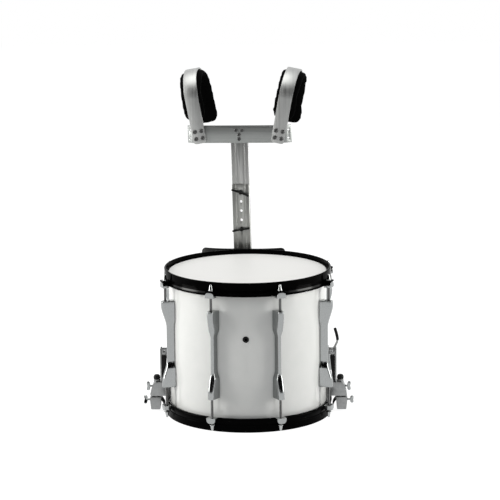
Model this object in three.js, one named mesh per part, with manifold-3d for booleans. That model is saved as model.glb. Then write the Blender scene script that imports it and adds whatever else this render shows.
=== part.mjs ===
// A marching snare drum with its shoulder carrier. Lengths are in millimetres and +Z is up.
// The drum stands on its snare-side hoop. The player stands behind it, on the +Y side.
import * as THREE from "three";
import { mergeVertices } from "three/addons/utils/BufferGeometryUtils.js";
import Module from "manifold-3d";

const wasm = await Module();
wasm.setup();

// Clearances shared by the whole drum
const seatGap = 0.3; // between pieces that touch
const overrun = 2; // how far a cutting tool runs past the face that it cuts
const weldDistance = 1e-4; // points nearer than this are one point

// How finely round pieces are drawn
const roundSegments = 48;
const tubeSides = 16;
const rodSides = 8;

// Shell: a white lacquered wooden cylinder, nominally 14 by 12 inches
const shellRadius = 177.8;
const shellWall = 6;
const shellLength = 316.8;
const bearingSlope = 4.6; // depth of the cut inside the edge that carries the head
const bearingCrest = 3.7; // from the inner face out to the crest of the edge
const bearingRelief = 1.6; // the rounded outer side of that edge
const ventRadius = 5;
const ventHeight = 209;
const ventFlangeRadius = 7.5;
const ventFlange = 1.6;
const ventBore = 3.2;

// Heads: a plastic film whose edge is held in an aluminium flesh hoop
const filmThickness = 0.5;
const headRecess = 9.3; // from the edge of the rim down to the playing face
const collarDrop = 2.1; // how far the film turns down over the bearing edge
const fleshHoopTop = 13.9; // depths below the edge of the rim
const fleshHoopBottom = 23;
const fleshHoopStandoff = 5.4; // its outer face, out from the shell
const fleshHoopOuter = shellRadius + fleshHoopStandoff;

// Counterhoops: black rims that press the flesh hoops down
const rimClearance = 0.4; // round the flesh hoop
const rimThickness = 4.4;
const rimInner = fleshHoopOuter + rimClearance;
const rimRadius = rimInner + rimThickness;
const rimEase = 1.6; // rounding of the rim's edge
const hoopDepth = 31.4;
const beadProud = 2; // over the rim
const beadRadius = rimRadius + beadProud;
const beadTop = 19.4; // depths below the edge of the rim
const beadEase = 2.4;
const grooveTop = 16;
const grooveDepth = 0.9;
const lipDepth = 2.6; // the inner lip that bears on the flesh hoop
const lipInner = fleshHoopOuter - lipDepth;
const lipTop = 11.2;
const lipBottom = 13.6;

// Claws and tension rods, eight at each end
const lugCount = 8;
const rodStandoff = 19.2; // centre of the rods, out from the shell
const rodCircle = shellRadius + rodStandoff;
const rodRadius = 3;
const rodClearance = 0.7;
const clawWidth = 24;
const clawReach = 9; // metal outside the centre of the rod
const clawTop = 20.2; // depths below the edge of the rim
const clawBottom = 29;
const clawCorner = 4;
const washerRadius = 6;
const washerThickness = 1.5;
const headBaseRadius = 5;
const headTipRadius = 2.6;
const headHeight = 15;
const headShoulder = 4.2;

// Lugs: full-length castings that flare at both ends to take the rods
const lugLength = 209;
const lugFlareDepth = 28.6;
const lugFlareWidth = 22;
const lugColumnDepth = 15.2;
const lugColumnWidth = 11;
const lugFlareLength = 62;
const lugCapLength = 9;
const lugEase = 1.6;
const lugBoreDepth = 24;
const lugCurveSegments = 4;
const rodEngagement = 22;

// Snares: straight strands under the snare-side head, with a bar and a strap at each end
const strandCount = 14;
const strandPitch = 4;
const strandRadius = 0.8;
const strandSides = 6;
const snareBarInset = 27.8; // in from the shell's outer face
const snareBarAt = shellRadius - snareBarInset;
const snareBarLength = 58;
const snareBarWidth = 12;
const snareBarThickness = 2.6;
const strapWidth = 26;
const strapThickness = 1.4;
const strapLevel = 4.8; // underside of the strap where it passes the hoop
const strapTurnStandoff = 15.7; // where the strap turns up to its clamp
const strapTurnAt = shellRadius + strapTurnStandoff;
const strapClampLevel = 22;
const strapGrip = 4.2; // height of the strap's end face at the clamp
const strapInBar = 0.35; // how deep the strap is let into the bar
const gateWidth = 34;
const gateHeight = 8.6;

// Strainers: one casting on each side of the shell, with the snare carriage hung below it
const strainerPlate = 5;
const strainerPlateTop = 150;
const strainerHalfWidth = 16;
const blockBottom = 33;
const blockTop = 69;
const blockDepth = 44.2; // out from the shell
const blockReach = shellRadius + blockDepth;
const blockBulge = 2.2;
const blockShoulder = 9;
const guardStandoff = 19.2;
const guardInner = shellRadius + guardStandoff;
const guardThickness = 3.5;
const guardTop = 147;
const guardHalfWidth = 12;
const guardSlot = 10.6;
const guardSlotBottom = 122;
const earThickness = 4;
const earInGuard = 0.4; // how deep the ears run into the guard
const earReach = guardInner + earInGuard;
const earBottom = 132.5;
const coverTop = 130;
const coverBottom = 71;
const coverHalfWidth = 10.5;
const coverStandoffs = [7.8, 13.7]; // of its inner face, at the top and at the bottom
const [coverInnerTop, coverInnerBottom] = coverStandoffs.map((out) => shellRadius + out);
const coverEase = 3;
const coverEdge = 0.6;

const carriageTop = 30.7;
const carriageBottom = 5;
const carriageStandoff = 21.2;
const carriageDepth = 26;
const carriageInner = shellRadius + carriageStandoff;
const carriageOuter = carriageInner + carriageDepth;
const carriageTaper = 2.4;
const carriageHalfWidth = 15;
const guidePinRadius = 2.5;
const guidePinSpacing = 18;
const guidePinTop = 56;
const guidePinInset = 10; // from the carriage's inner face
const guidePinAt = carriageInner + guidePinInset;
const guideClearance = 0.5;

const knobInset = 10.2; // from the carriage's inner face
const knobAt = carriageInner + knobInset;
const knobRadius = 7.6;
const knobHeight = 14.5;
const knobLift = 0.7; // the knob turns clear of the block
const knobFlutes = 8;
const knobFluteRadius = 1.5;
const screwRadius = 2.4;
const screwClearance = 0.5;

const wingSpan = 20.5;
const wingThickness = 3;
const wingDepth = 9.5;
const wingHubRadius = 4;
const wingHubLength = 4;
const wingNoseLength = 2; // end of the thread, past the hub
const wingNotch = 3.4;
const upperWingHeight = 57;
const lowerWingHeight = 25;
const upperWingStem = 7.5; // thread inside the block
const lowerWingStem = 8;
const lowerWingNeck = 6; // bare thread between the carriage and its wing
const lowerWingTurn = 35; // degrees from upright, as the wings were left

// Throw-off lever on the right-hand strainer
const pivotStandoff = 13.4;
const pivotOut = shellRadius + pivotStandoff;
const pivotHeight = 140;
const pivotRadius = 2;
const pivotClearance = 0.4;
const leverWidth = 8;
const leverThickness = 4;
const leverHubRadius = 5;
const leverRise = 52;
const leverBow = 9.5;
const leverBowHeightShare = 0.46;
const leverTipOut = 5.5;
const leverElbowShare = 0.75; // of the bow, reached halfway up to it
const leverTaperFrom = 0.75; // share of the length where the tip begins to narrow
const leverTipShare = 0.7; // of the width, left at the tip
const leverSteps = 10;

// Carrier socket on the back of the shell and the hook that drops into it
const hookX = -19;
const hookStandoff = 27.2; // centre of the spigot, out from the shell
const hookY = shellRadius + hookStandoff;
const socketRadius = 11.5;
const socketBottom = 232;
const socketTop = 262;
const socketPlateWidth = 44;
const socketPlateHeight = 62;
const socketPlateThickness = 4; // over the shell's crown
const socketPlateSkirt = 6; // how far the plate's edges reach back round the shell
const socketPlateCorner = 7;
const socketNeck = 16;
const spigotRadius = 6.5;
const spigotClearance = 1.2;
const spigotBottom = 224;
const collarRadius = 10.5;
const collarThickness = 4;
const knucklePinTop = 300;
const knuckleRadius = 10;
const knuckleClearance = 0.4;
const knuckleNeck = 12;

// Carrier: a T of flat aluminium bar with a belly plate, hung 8 degrees out of square
const carrierTurn = -8.4; // degrees about the hook, seen from above
const carrierLean = -1.25; // degrees, towards the player's left
const carrierSetback = 17.5; // from the hook back to the front face of the post
const postWidth = 41.5;
const postThickness = 5;
const postGroove = 1;
const postGrooveAtShare = 0.26;
const postEase = 1;
const lowerPostBottom = 214;
const upperPostTop = 622;
const postTravel = 50;
const postEndMargin = 8; // metal below the upper post's slot
const lowerBoltHeight = 378;
const boltHoleCount = 5;
const boltHolePitch = 22;
const postAboveHoles = 18; // metal above the highest hole
const lowerPostTop = lowerBoltHeight + (boltHoleCount - 1) * boltHolePitch + postAboveHoles;
const boltRadius = 3.6;
const boltClearance = 0.4;
const boltTail = 5; // thread that shows behind the upper post
const boltWingSpan = 40;
const boltWingDepth = 9; // heights of the wings' outline over the post
const boltWingTop = 10;
const boltWingRoot = 6.3;
const boltHubHeight = 4.8;
const boltNoseHeight = 7.5;
const boltWingThickness = 4.4;
const boltHubRadius = 6;
const boltWingTilts = [8, -17]; // degrees, as the lower and the upper one were left

const crossbarLength = 244;
const crossbarHeight = 41;
const crossbarBottom = 583;
const crossbarEndBend = 12;
const crossbarEndAngle = 38;
const barThickness = 5;
const barHoleRadius = 2.6;
const barHolePitch = 19;

const bandWidth = 31.5;
const bandThickness = 4;
const bandInset = 27; // from the end of the crossbar to the middle of a band's foot
const bandSpacing = crossbarLength - 2 * bandInset;
const bandSplay = 9.3; // degrees outwards
const bandSpringing = 688; // height at which the arch begins
const bandArchDepth = 138;
const bandArchRise = 65;
const bandRearEnd = 618;
const bandFootDrop = 1;
const bandFootCorner = 7;
const bandSteps = 16;

const padWidth = 51;
const padThickness = 14;
const padFrontEnd = 641;
const padRearEnd = 618;
const padRearWidening = 2;
const padOffset = 2.5; // outwards from the middle of the band
const padEndShares = [0.45, 0.35]; // of the full width and thickness, left at the ends
const padThickening = 1.6; // its thickness fills out this much sooner than its width
const padSteps = 24;
const padSides = 12;

// Squareness of the cushions' sections, where one is an ellipse and nought a rectangle
const padSideSquareness = 0.6;
const padFaceSquareness = 0.75;

// Belly plate and its pad
const plateHalfWidth = 100;
const plateFlatHalf = 30;
const plateThickness = 3;
const plateSweep = 15; // how far its ends curve towards the player
const plateBelowBolt = 46.5;
const plateTop = lowerBoltHeight - plateBelowBolt;
const plateBottom = 196;
const plateCorner = 26;
const plateTopCorner = 10;
const bellyPadHalfWidth = 90;
const bellyPadInsets = [25.5, 6]; // below the plate's top and above its bottom
const bellyPadTop = plateTop - bellyPadInsets[0];
const bellyPadBottom = plateBottom + bellyPadInsets[1];
const bellyPadThickness = 20;
const bellyPadSweepShare = 0.6; // of the plate's sweep
const bellyPadEndShares = [0.5, 0.3]; // of the full height and thickness, left at the ends
const bellyPadSteps = 16;
const bellyPadSides = 16;
const bellyPadEndPowers = [3, 0.4]; // how late and how roundly the ends draw in

// Heights that follow from the sizes above
const shellBottom = headRecess + filmThickness + seatGap;
const shellTop = shellBottom + shellLength;
const drumHeight = shellTop + seatGap + filmThickness + headRecess;
const lugBack = shellRadius + seatGap;
const lugBottom = (drumHeight - lugLength) / 2;
const lugPitch = (2 * Math.PI) / lugCount;

// Finishes
const finish = (color, roughness, metalness) =>
  new THREE.MeshStandardMaterial({ color, roughness, metalness });
const whiteLacquer = finish(0xecece8, 0.25, 0);
const headFilm = finish(0xf1efec, 0.5, 0);
const blackPaint = finish(0x0c0c0c, 0.35, 0);
const polishedMetal = finish(0xb4b8b8, 0.25, 1);
const castMetal = finish(0x9aa09f, 0.35, 1);
const brushedAluminium = finish(0x9b9f9c, 0.45, 1);
const blackPlastic = finish(0x0a0a0a, 0.4, 0);
const blackFoam = finish(0x080808, 0.9, 0);
const steelWire = finish(0xa8a8a4, 0.35, 1);

// Makes a solid of a closed geometry, for joining and cutting.
function solidOf(geometry) {
  const bare = new THREE.BufferGeometry();
  const source = geometry.index ? geometry.toNonIndexed() : geometry;
  bare.setAttribute("position", source.getAttribute("position"));
  const merged = mergeVertices(bare, weldDistance);
  return new wasm.Manifold(
    new wasm.Mesh({
      numProp: 3,
      vertProperties: merged.attributes.position.array,
      triVerts: new Uint32Array(merged.index.array),
    }),
  );
}

function geometryOf(solid) {
  const mesh = solid.getMesh();
  const geometry = new THREE.BufferGeometry();
  geometry.setAttribute("position", new THREE.BufferAttribute(mesh.vertProperties, 3));
  geometry.setIndex(new THREE.BufferAttribute(mesh.triVerts, 1));
  const faceted = geometry.toNonIndexed();
  faceted.computeVertexNormals();
  return faceted;
}

function join(...geometries) {
  return geometryOf(geometries.map(solidOf).reduce((sum, part) => sum.add(part)));
}

function cut(body, ...tools) {
  return geometryOf(tools.map(solidOf).reduce((rest, tool) => rest.subtract(tool), solidOf(body)));
}

function overlapOf(a, b) {
  return geometryOf(solidOf(a).intersect(solidOf(b)));
}

// Turns a profile of [radius, height] points about the Z axis.
function revolve(points, segments) {
  const profile = points.map(([radius, height]) => new THREE.Vector2(radius, height));
  if (profile[0].x > 0) profile.push(profile[0].clone());
  if (THREE.ShapeUtils.area(profile) < 0) profile.reverse();
  return new THREE.LatheGeometry(profile, segments).rotateX(Math.PI / 2);
}

function rod(radius, bottom, top, segments = rodSides) {
  return revolve([[0, bottom], [radius, bottom], [radius, top], [0, top]], segments);
}

function block(x0, x1, y0, y1, z0, z1) {
  const box = new THREE.BoxGeometry(x1 - x0, y1 - y0, z1 - z0);
  return box.translate((x0 + x1) / 2, (y0 + y1) / 2, (z0 + z1) / 2);
}

function shapeOf(points) {
  return new THREE.Shape(points.map(([x, y]) => new THREE.Vector2(x, y)));
}

// Extrudes an outline by a depth, with its edges eased where an ease is given.
function slab(shape, depth, ease = 0, curveSegments = 8) {
  return new THREE.ExtrudeGeometry(shape, {
    depth: depth - 2 * ease,
    bevelEnabled: ease > 0,
    bevelThickness: ease,
    bevelSize: ease,
    bevelOffset: -ease,
    bevelSegments: 1,
    curveSegments,
  }).translate(0, 0, ease);
}

// An outline drawn in X and Z, extruded through Y from y0 to y1.
function slabThroughY(shape, y0, y1, ease = 0, curveSegments = 8) {
  return slab(shape, y1 - y0, ease, curveSegments).rotateX(Math.PI / 2).translate(0, y1, 0);
}

// A rectangle with rounded or chamfered corners, centred on zero in X.
function roundedPlate(halfWidth, bottom, top, corner) {
  const shape = new THREE.Shape();
  shape.moveTo(-halfWidth + corner, bottom);
  shape.lineTo(halfWidth - corner, bottom);
  shape.quadraticCurveTo(halfWidth, bottom, halfWidth, bottom + corner);
  shape.lineTo(halfWidth, top - corner);
  shape.quadraticCurveTo(halfWidth, top, halfWidth - corner, top);
  shape.lineTo(-halfWidth + corner, top);
  shape.quadraticCurveTo(-halfWidth, top, -halfWidth, top - corner);
  shape.lineTo(-halfWidth, bottom + corner);
  shape.quadraticCurveTo(-halfWidth, bottom, -halfWidth + corner, bottom);
  return shape;
}

// Closes a list of rings of points, all of one length, into a solid with flat ends.
function loft(rings) {
  const positions = [];
  const add = (...corners) => corners.forEach((p) => positions.push(p.x, p.y, p.z));
  const count = rings[0].length;
  for (let r = 0; r + 1 < rings.length; r++) {
    for (let i = 0; i < count; i++) {
      const j = (i + 1) % count;
      add(rings[r][i], rings[r][j], rings[r + 1][j]);
      add(rings[r][i], rings[r + 1][j], rings[r + 1][i]);
    }
  }
  for (const [ring, turned] of [[rings[0], true], [rings.at(-1), false]]) {
    const middle = ring.reduce((sum, p) => sum.clone().add(p)).divideScalar(count);
    ring.forEach((p, i) => {
      const next = ring[(i + 1) % count];
      if (turned) add(middle, next, p);
      else add(middle, p, next);
    });
  }
  const geometry = new THREE.BufferGeometry();
  geometry.setAttribute("position", new THREE.Float32BufferAttribute(positions, 3));
  geometry.computeVertexNormals();
  return geometry;
}

function piece(name, geometry, material) {
  const mesh = new THREE.Mesh(geometry, material);
  mesh.name = name;
  return mesh;
}

// Puts a piece at its angle round the drum, from a drawing in which it lies towards +X.
function roundTheDrum(mesh, angle) {
  mesh.rotation.z = angle;
  return mesh;
}

function lugAngle(index) {
  return (index + 0.5) * lugPitch - Math.PI / 2;
}

// Shell, with its bearing edges cut at both ends and the vent hole bored at the front
function makeShell() {
  const inner = shellRadius - shellWall;
  const crown = shellRadius - bearingRelief;
  const crest = inner + bearingCrest;
  const wall = revolve(
    [
      [inner, shellBottom + bearingSlope],
      [crest, shellBottom],
      [crown, shellBottom],
      [shellRadius, shellBottom + bearingRelief],
      [shellRadius, shellTop - bearingRelief],
      [crown, shellTop],
      [crest, shellTop],
      [inner, shellTop - bearingSlope],
    ],
    roundSegments,
  );
  const drill = rod(ventRadius, inner - overrun, shellRadius + overrun, tubeSides);
  drill.rotateX(Math.PI / 2).translate(0, 0, ventHeight);
  return cut(wall, drill);
}

// The grommet is a black sleeve with an outer flange; it lines the vent hole.
function makeVentGrommet() {
  const sleeve = ventRadius - seatGap;
  const face = shellRadius + seatGap;
  return revolve(
    [
      [ventBore, shellRadius - shellWall],
      [sleeve, shellRadius - shellWall],
      [sleeve, face],
      [ventFlangeRadius, face],
      [ventFlangeRadius - ventFlange / 2, face + ventFlange],
      [ventBore, face + ventFlange],
    ],
    tubeSides,
  )
    .rotateX(Math.PI / 2)
    .translate(0, 0, ventHeight);
}

// The ends of the drum are drawn once, with the edge of the rim at zero and the drum below.
function makeHead() {
  const collar = shellRadius + seatGap;
  const crown = shellRadius - bearingRelief + seatGap;
  const film = filmThickness;
  return revolve(
    [
      [0, -headRecess - film],
      [crown, -headRecess - film],
      [collar, -headRecess - film - bearingRelief],
      [collar, -fleshHoopBottom],
      [fleshHoopOuter, -fleshHoopBottom],
      [fleshHoopOuter, -fleshHoopTop],
      [collar + 2 * film, -fleshHoopTop],
      [collar + film, -headRecess - collarDrop],
      [crown + film, -headRecess],
      [0, -headRecess],
    ],
    roundSegments,
  );
}

function makeClawEar() {
  const outer = rodCircle + clawReach;
  const half = clawWidth / 2;
  const outline = shapeOf([
    [rimRadius - rimEase, -half],
    [outer - clawCorner, -half],
    [outer, clawCorner - half],
    [outer, half - clawCorner],
    [outer - clawCorner, half],
    [rimRadius - rimEase, half],
  ]);
  return slab(outline, clawBottom - clawTop).translate(0, 0, -clawBottom);
}

function makeHoop() {
  const groove = rimRadius - grooveDepth;
  let hoop = revolve(
    [
      [rimInner, -rimEase],
      [rimInner + rimEase, 0],
      [rimRadius - rimEase, 0],
      [rimRadius, -rimEase],
      [rimRadius, -grooveTop],
      [groove, -(grooveTop + beadTop) / 2],
      [beadRadius, -beadTop - beadEase],
      [beadRadius, -hoopDepth + beadEase],
      [beadRadius - beadEase, -hoopDepth],
      [rimInner, -hoopDepth],
      [rimInner, -lipBottom],
      [lipInner, -lipBottom],
      [lipInner, -lipTop],
      [rimInner, -lipTop],
    ],
    roundSegments,
  );
  const ears = [];
  const holes = [];
  for (let i = 0; i < lugCount; i++) {
    const hole = rod(rodRadius + rodClearance, -clawBottom - overrun, -clawTop + overrun);
    hole.rotateZ(Math.PI / rodSides).translate(rodCircle, 0, 0);
    ears.push(makeClawEar().rotateZ(lugAngle(i)));
    holes.push(hole.rotateZ(lugAngle(i)));
  }
  hoop = join(hoop, ...ears);
  return cut(hoop, ...holes);
}

// A gate on each side of the snare-side hoop lets the strap through.
function makeSnareHoop() {
  const gate = block(
    -beadRadius - overrun,
    beadRadius + overrun,
    -gateWidth / 2,
    gateWidth / 2,
    -gateHeight,
    overrun,
  );
  return cut(makeHoop(), gate);
}

function makeTensionRod() {
  const washerBottom = -clawTop + seatGap;
  const headBottom = washerBottom + washerThickness;
  const lugTop = -lugBottom;
  return revolve(
    [
      [0, lugTop - rodEngagement],
      [rodRadius, lugTop - rodEngagement],
      [rodRadius, washerBottom],
      [washerRadius, washerBottom],
      [washerRadius, headBottom],
      [headBaseRadius, headBottom],
      [headBaseRadius, headBottom + headShoulder],
      [headTipRadius, headBottom + headHeight - washerThickness],
      [0, headBottom + headHeight - washerThickness],
    ],
    rodSides,
  );
}

// A lug is the overlap of its side view and its front view, bored from both ends.
function makeLug() {
  const side = new THREE.Shape();
  const flare = lugFlareDepth;
  const column = lugColumnDepth;
  side.moveTo(0, 0);
  side.lineTo(flare, 0);
  side.lineTo(flare, lugCapLength);
  side.bezierCurveTo(
    flare, lugFlareLength / 2,
    column, lugFlareLength / 2,
    column, lugFlareLength,
  );
  side.lineTo(column, lugLength - lugFlareLength);
  side.bezierCurveTo(
    column, lugLength - lugFlareLength / 2,
    flare, lugLength - lugFlareLength / 2,
    flare, lugLength - lugCapLength,
  );
  side.lineTo(flare, lugLength);
  side.lineTo(0, lugLength);

  const wide = lugFlareWidth / 2;
  const narrow = lugColumnWidth / 2;
  const front = new THREE.Shape();
  front.moveTo(-wide, 0);
  front.lineTo(wide, 0);
  front.lineTo(wide, lugCapLength);
  front.bezierCurveTo(wide, lugFlareLength / 2, narrow, lugFlareLength / 2, narrow, lugFlareLength);
  front.lineTo(narrow, lugLength - lugFlareLength);
  front.bezierCurveTo(
    narrow, lugLength - lugFlareLength / 2,
    wide, lugLength - lugFlareLength / 2,
    wide, lugLength - lugCapLength,
  );
  front.lineTo(wide, lugLength);
  front.lineTo(-wide, lugLength);
  front.lineTo(-wide, lugLength - lugCapLength);
  front.bezierCurveTo(
    -wide, lugLength - lugFlareLength / 2,
    -narrow, lugLength - lugFlareLength / 2,
    -narrow, lugLength - lugFlareLength,
  );
  front.lineTo(-narrow, lugFlareLength);
  front.bezierCurveTo(-narrow, lugFlareLength / 2, -wide, lugFlareLength / 2, -wide, lugCapLength);

  const sideSolid = slabThroughY(side, -wide, wide, lugEase, lugCurveSegments);
  const frontSolid = slab(front, flare + 2 * overrun, 0, lugCurveSegments)
    .rotateX(Math.PI / 2)
    .rotateZ(Math.PI / 2)
    .translate(-overrun, 0, 0);
  const cast = overlapOf(sideSolid, frontSolid);
  const boreRadius = rodRadius + rodClearance;
  const at = rodCircle - lugBack;
  const lower = rod(boreRadius, -overrun, lugBoreDepth).translate(at, 0, 0);
  const upper = rod(boreRadius, lugLength - lugBoreDepth, lugLength + overrun).translate(at, 0, 0);
  return cut(cast, lower, upper).translate(lugBack, 0, lugBottom);
}

// Strands, end bars and straps are one set that lies just under the snare-side head.
function makeSnares() {
  const top = headRecess - seatGap;
  const barBottom = top - snareBarThickness;
  const strandMiddle = top - strandRadius;
  const parts = [];
  for (let i = 0; i < strandCount; i++) {
    const across = (i - (strandCount - 1) / 2) * strandPitch;
    const strand = rod(strandRadius, -snareBarAt, snareBarAt, strandSides);
    parts.push(strand.rotateY(Math.PI / 2).translate(0, across, strandMiddle));
  }
  for (const sideways of [-1, 1]) {
    const bar = block(
      snareBarAt - snareBarWidth / 2,
      snareBarAt + snareBarWidth / 2,
      -snareBarLength / 2,
      snareBarLength / 2,
      barBottom,
      top,
    );
    const clampFace = carriageInner - seatGap;
    const strap = slabThroughY(
      shapeOf([
        [snareBarAt, barBottom + strapInBar],
        [strapTurnAt - strapThickness, strapLevel],
        [clampFace, strapClampLevel],
        [clampFace, strapClampLevel + strapGrip],
        [strapTurnAt - 2 * strapThickness, strapLevel + strapThickness],
        [snareBarAt, barBottom + strapInBar + strapThickness],
      ]),
      -strapWidth / 2,
      strapWidth / 2,
    );
    const end = join(bar, strap);
    if (sideways < 0) end.rotateZ(Math.PI);
    parts.push(end);
  }
  return join(...parts);
}

// The strainer casting: back plate, main block, outer guard plate and the ears of the pivot
function makeStrainer() {
  const back = shellRadius + seatGap;
  const half = strainerHalfWidth;
  const plate = slab(roundedPlate(half, blockBottom, strainerPlateTop, half / 2), strainerPlate)
    .rotateX(Math.PI / 2)
    .rotateZ(Math.PI / 2)
    .translate(back, 0, 0);
  const body = slabThroughY(
    shapeOf([
      [back, blockBottom],
      [blockReach, blockBottom],
      [blockReach + blockBulge, blockBottom + blockBulge * 2],
      [blockReach, blockTop - blockShoulder * 2],
      [blockReach - blockShoulder / 2, blockTop - blockShoulder / 2],
      [blockReach - blockShoulder, blockTop],
      [back, blockTop],
    ]),
    -half,
    half,
    lugEase,
  );
  const guard = slab(
    roundedPlate(guardHalfWidth, blockTop - lugEase, guardTop, guardHalfWidth / 2),
    guardThickness,
  )
    .rotateX(Math.PI / 2)
    .rotateZ(Math.PI / 2)
    .translate(guardInner, 0, 0);
  const earInner = leverWidth / 2 + seatGap;
  const ear = (y0) =>
    block(back, earReach, y0, y0 + earThickness, earBottom, pivotHeight + leverHubRadius);
  const cast = join(plate, body, guard, ear(earInner), ear(-earInner - earThickness));

  const slotHalf = guardSlot / 2;
  const slot = block(
    guardInner - overrun,
    guardInner + guardThickness + overrun,
    -slotHalf,
    slotHalf,
    guardSlotBottom,
    guardTop + overrun,
  );
  const pinHole = rod(pivotRadius + pivotClearance, -half - overrun, half + overrun)
    .rotateX(Math.PI / 2)
    .translate(pivotOut, 0, pivotHeight);
  const knobHole = rod(screwRadius + screwClearance, blockBottom - overrun, blockTop + overrun)
    .translate(knobAt, 0, 0);
  const wingHole = rod(
    screwRadius + screwClearance,
    blockReach - upperWingStem - screwClearance,
    blockReach + blockBulge + overrun,
  )
    .rotateY(Math.PI / 2)
    .translate(0, 0, upperWingHeight);
  const guides = [-1, 1].map((sideways) =>
    rod(guidePinRadius + guideClearance, blockBottom - overrun, guidePinTop + overrun)
      .translate(guidePinAt, (sideways * guidePinSpacing) / 2, 0),
  );
  return cut(cast, slot, pinHole, knobHole, wingHole, ...guides);
}

// The black cover fills the wedge between the back plate and the guard.
function makeStrainerCover() {
  const outer = guardInner - seatGap;
  const outline = shapeOf([
    [coverInnerBottom, coverBottom],
    [outer, coverBottom],
    [outer, coverTop],
    [coverInnerTop + coverEase, coverTop],
    [coverInnerTop, coverTop - coverEase],
  ]);
  return slabThroughY(outline, -coverHalfWidth, coverHalfWidth, coverEdge);
}

// The carriage clamps the end of the strap and slides on two pins in the main block.
function makeCarriage() {
  const half = carriageHalfWidth;
  const outline = shapeOf([
    [carriageInner + carriageTaper, carriageBottom],
    [carriageOuter - carriageTaper, carriageBottom],
    [carriageOuter, carriageTop - carriageTaper],
    [carriageOuter - carriageTaper / 2, carriageTop],
    [carriageInner, carriageTop],
  ]);
  const body = slabThroughY(outline, -half, half, lugEase);
  const pins = [-1, 1].map((sideways) =>
    rod(guidePinRadius, carriageTop - overrun, guidePinTop)
      .translate(guidePinAt, (sideways * guidePinSpacing) / 2, 0),
  );
  const tapped = rod(
    screwRadius + screwClearance,
    carriageOuter - lowerWingStem - screwClearance,
    carriageOuter + overrun,
  )
    .rotateY(Math.PI / 2)
    .translate(0, 0, lowerWingHeight);
  return cut(join(body, ...pins), tapped);
}

// The height knob: a fluted black cap on a long screw that reaches down to the carriage
function makeKnob() {
  const bottom = blockTop + knobLift;
  const top = bottom + knobHeight;
  const cap = revolve(
    [
      [0, bottom],
      [knobRadius - lugEase, bottom],
      [knobRadius, bottom + lugEase],
      [knobRadius, top - 2 * lugEase],
      [knobRadius - 2 * lugEase, top],
      [0, top],
    ],
    16,
  );
  const flutes = [];
  for (let i = 0; i < knobFlutes; i++) {
    const angle = (i * 2 * Math.PI) / knobFlutes;
    const flute = rod(knobFluteRadius, bottom - overrun, top + overrun, 4);
    const out = knobRadius + knobFluteRadius / 2;
    flutes.push(flute.translate(out * Math.cos(angle), out * Math.sin(angle), 0));
  }
  const screw = rod(screwRadius, carriageTop + seatGap, bottom + overrun);
  return join(cut(cap, ...flutes), screw).translate(knobAt, 0, 0);
}

// A wing screw that points along +X, with its shoulder at zero
function makeWingScrew(stem, neck) {
  const hub = revolve(
    [
      [0, -stem],
      [screwRadius, -stem],
      [screwRadius, neck],
      [wingHubRadius, neck],
      [wingHubRadius, neck + wingHubLength],
      [screwRadius, neck + wingHubLength + wingNoseLength],
      [0, neck + wingHubLength + wingNoseLength],
    ],
    tubeSides,
  ).rotateY(Math.PI / 2);
  const half = wingSpan / 2;
  const wings = slabThroughY(
    shapeOf([
      [neck + wingHubLength / 4, -screwRadius],
      [neck + wingDepth - wingNotch, -half],
      [neck + wingDepth, -half + wingNotch / 2],
      [neck + wingDepth - wingNotch / 2, -wingNotch],
      [neck + wingHubLength, 0],
      [neck + wingDepth - wingNotch / 2, wingNotch],
      [neck + wingDepth, half - wingNotch / 2],
      [neck + wingDepth - wingNotch, half],
      [neck + wingHubLength / 4, screwRadius],
    ]),
    -wingThickness / 2,
    wingThickness / 2,
  );
  return join(hub, wings);
}

// The throw-off lever bows outwards and comes back in at its tip.
function makeLever() {
  const bowHeight = leverRise * leverBowHeightShare;
  const centre = new THREE.CatmullRomCurve3([
    new THREE.Vector3(0, 0, 0),
    new THREE.Vector3(leverBow * leverElbowShare, 0, bowHeight / 2),
    new THREE.Vector3(leverBow + leverThickness / 2, 0, bowHeight),
    new THREE.Vector3(leverBow, 0, (bowHeight + leverRise) / 2),
    new THREE.Vector3(leverTipOut, 0, leverRise),
  ]);
  const rings = [];
  for (let i = 0; i <= leverSteps; i++) {
    const share = i / leverSteps;
    const at = centre.getPoint(share);
    const along = centre.getTangent(share);
    const out = new THREE.Vector3(along.z, 0, -along.x).multiplyScalar(leverThickness / 2);
    const pastTaper = Math.max(0, share - leverTaperFrom) / (1 - leverTaperFrom);
    const half = (leverWidth / 2) * (1 - (1 - leverTipShare) * pastTaper);
    rings.push([
      at.clone().sub(out).add(new THREE.Vector3(0, -half, 0)),
      at.clone().add(out).add(new THREE.Vector3(0, -half, 0)),
      at.clone().add(out).add(new THREE.Vector3(0, half, 0)),
      at.clone().sub(out).add(new THREE.Vector3(0, half, 0)),
    ]);
  }
  const half = leverWidth / 2;
  const hub = rod(leverHubRadius, -half, half, tubeSides).rotateX(Math.PI / 2);
  const bore = rod(pivotRadius + pivotClearance, -half - overrun, half + overrun);
  const arm = cut(join(loft(rings), hub), bore.rotateX(Math.PI / 2));
  return arm.translate(pivotOut, 0, pivotHeight);
}

function makeLeverPin() {
  const half = leverWidth / 2 + seatGap + earThickness;
  return rod(pivotRadius, -half, half).rotateX(Math.PI / 2).translate(pivotOut, 0, pivotHeight);
}

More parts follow.
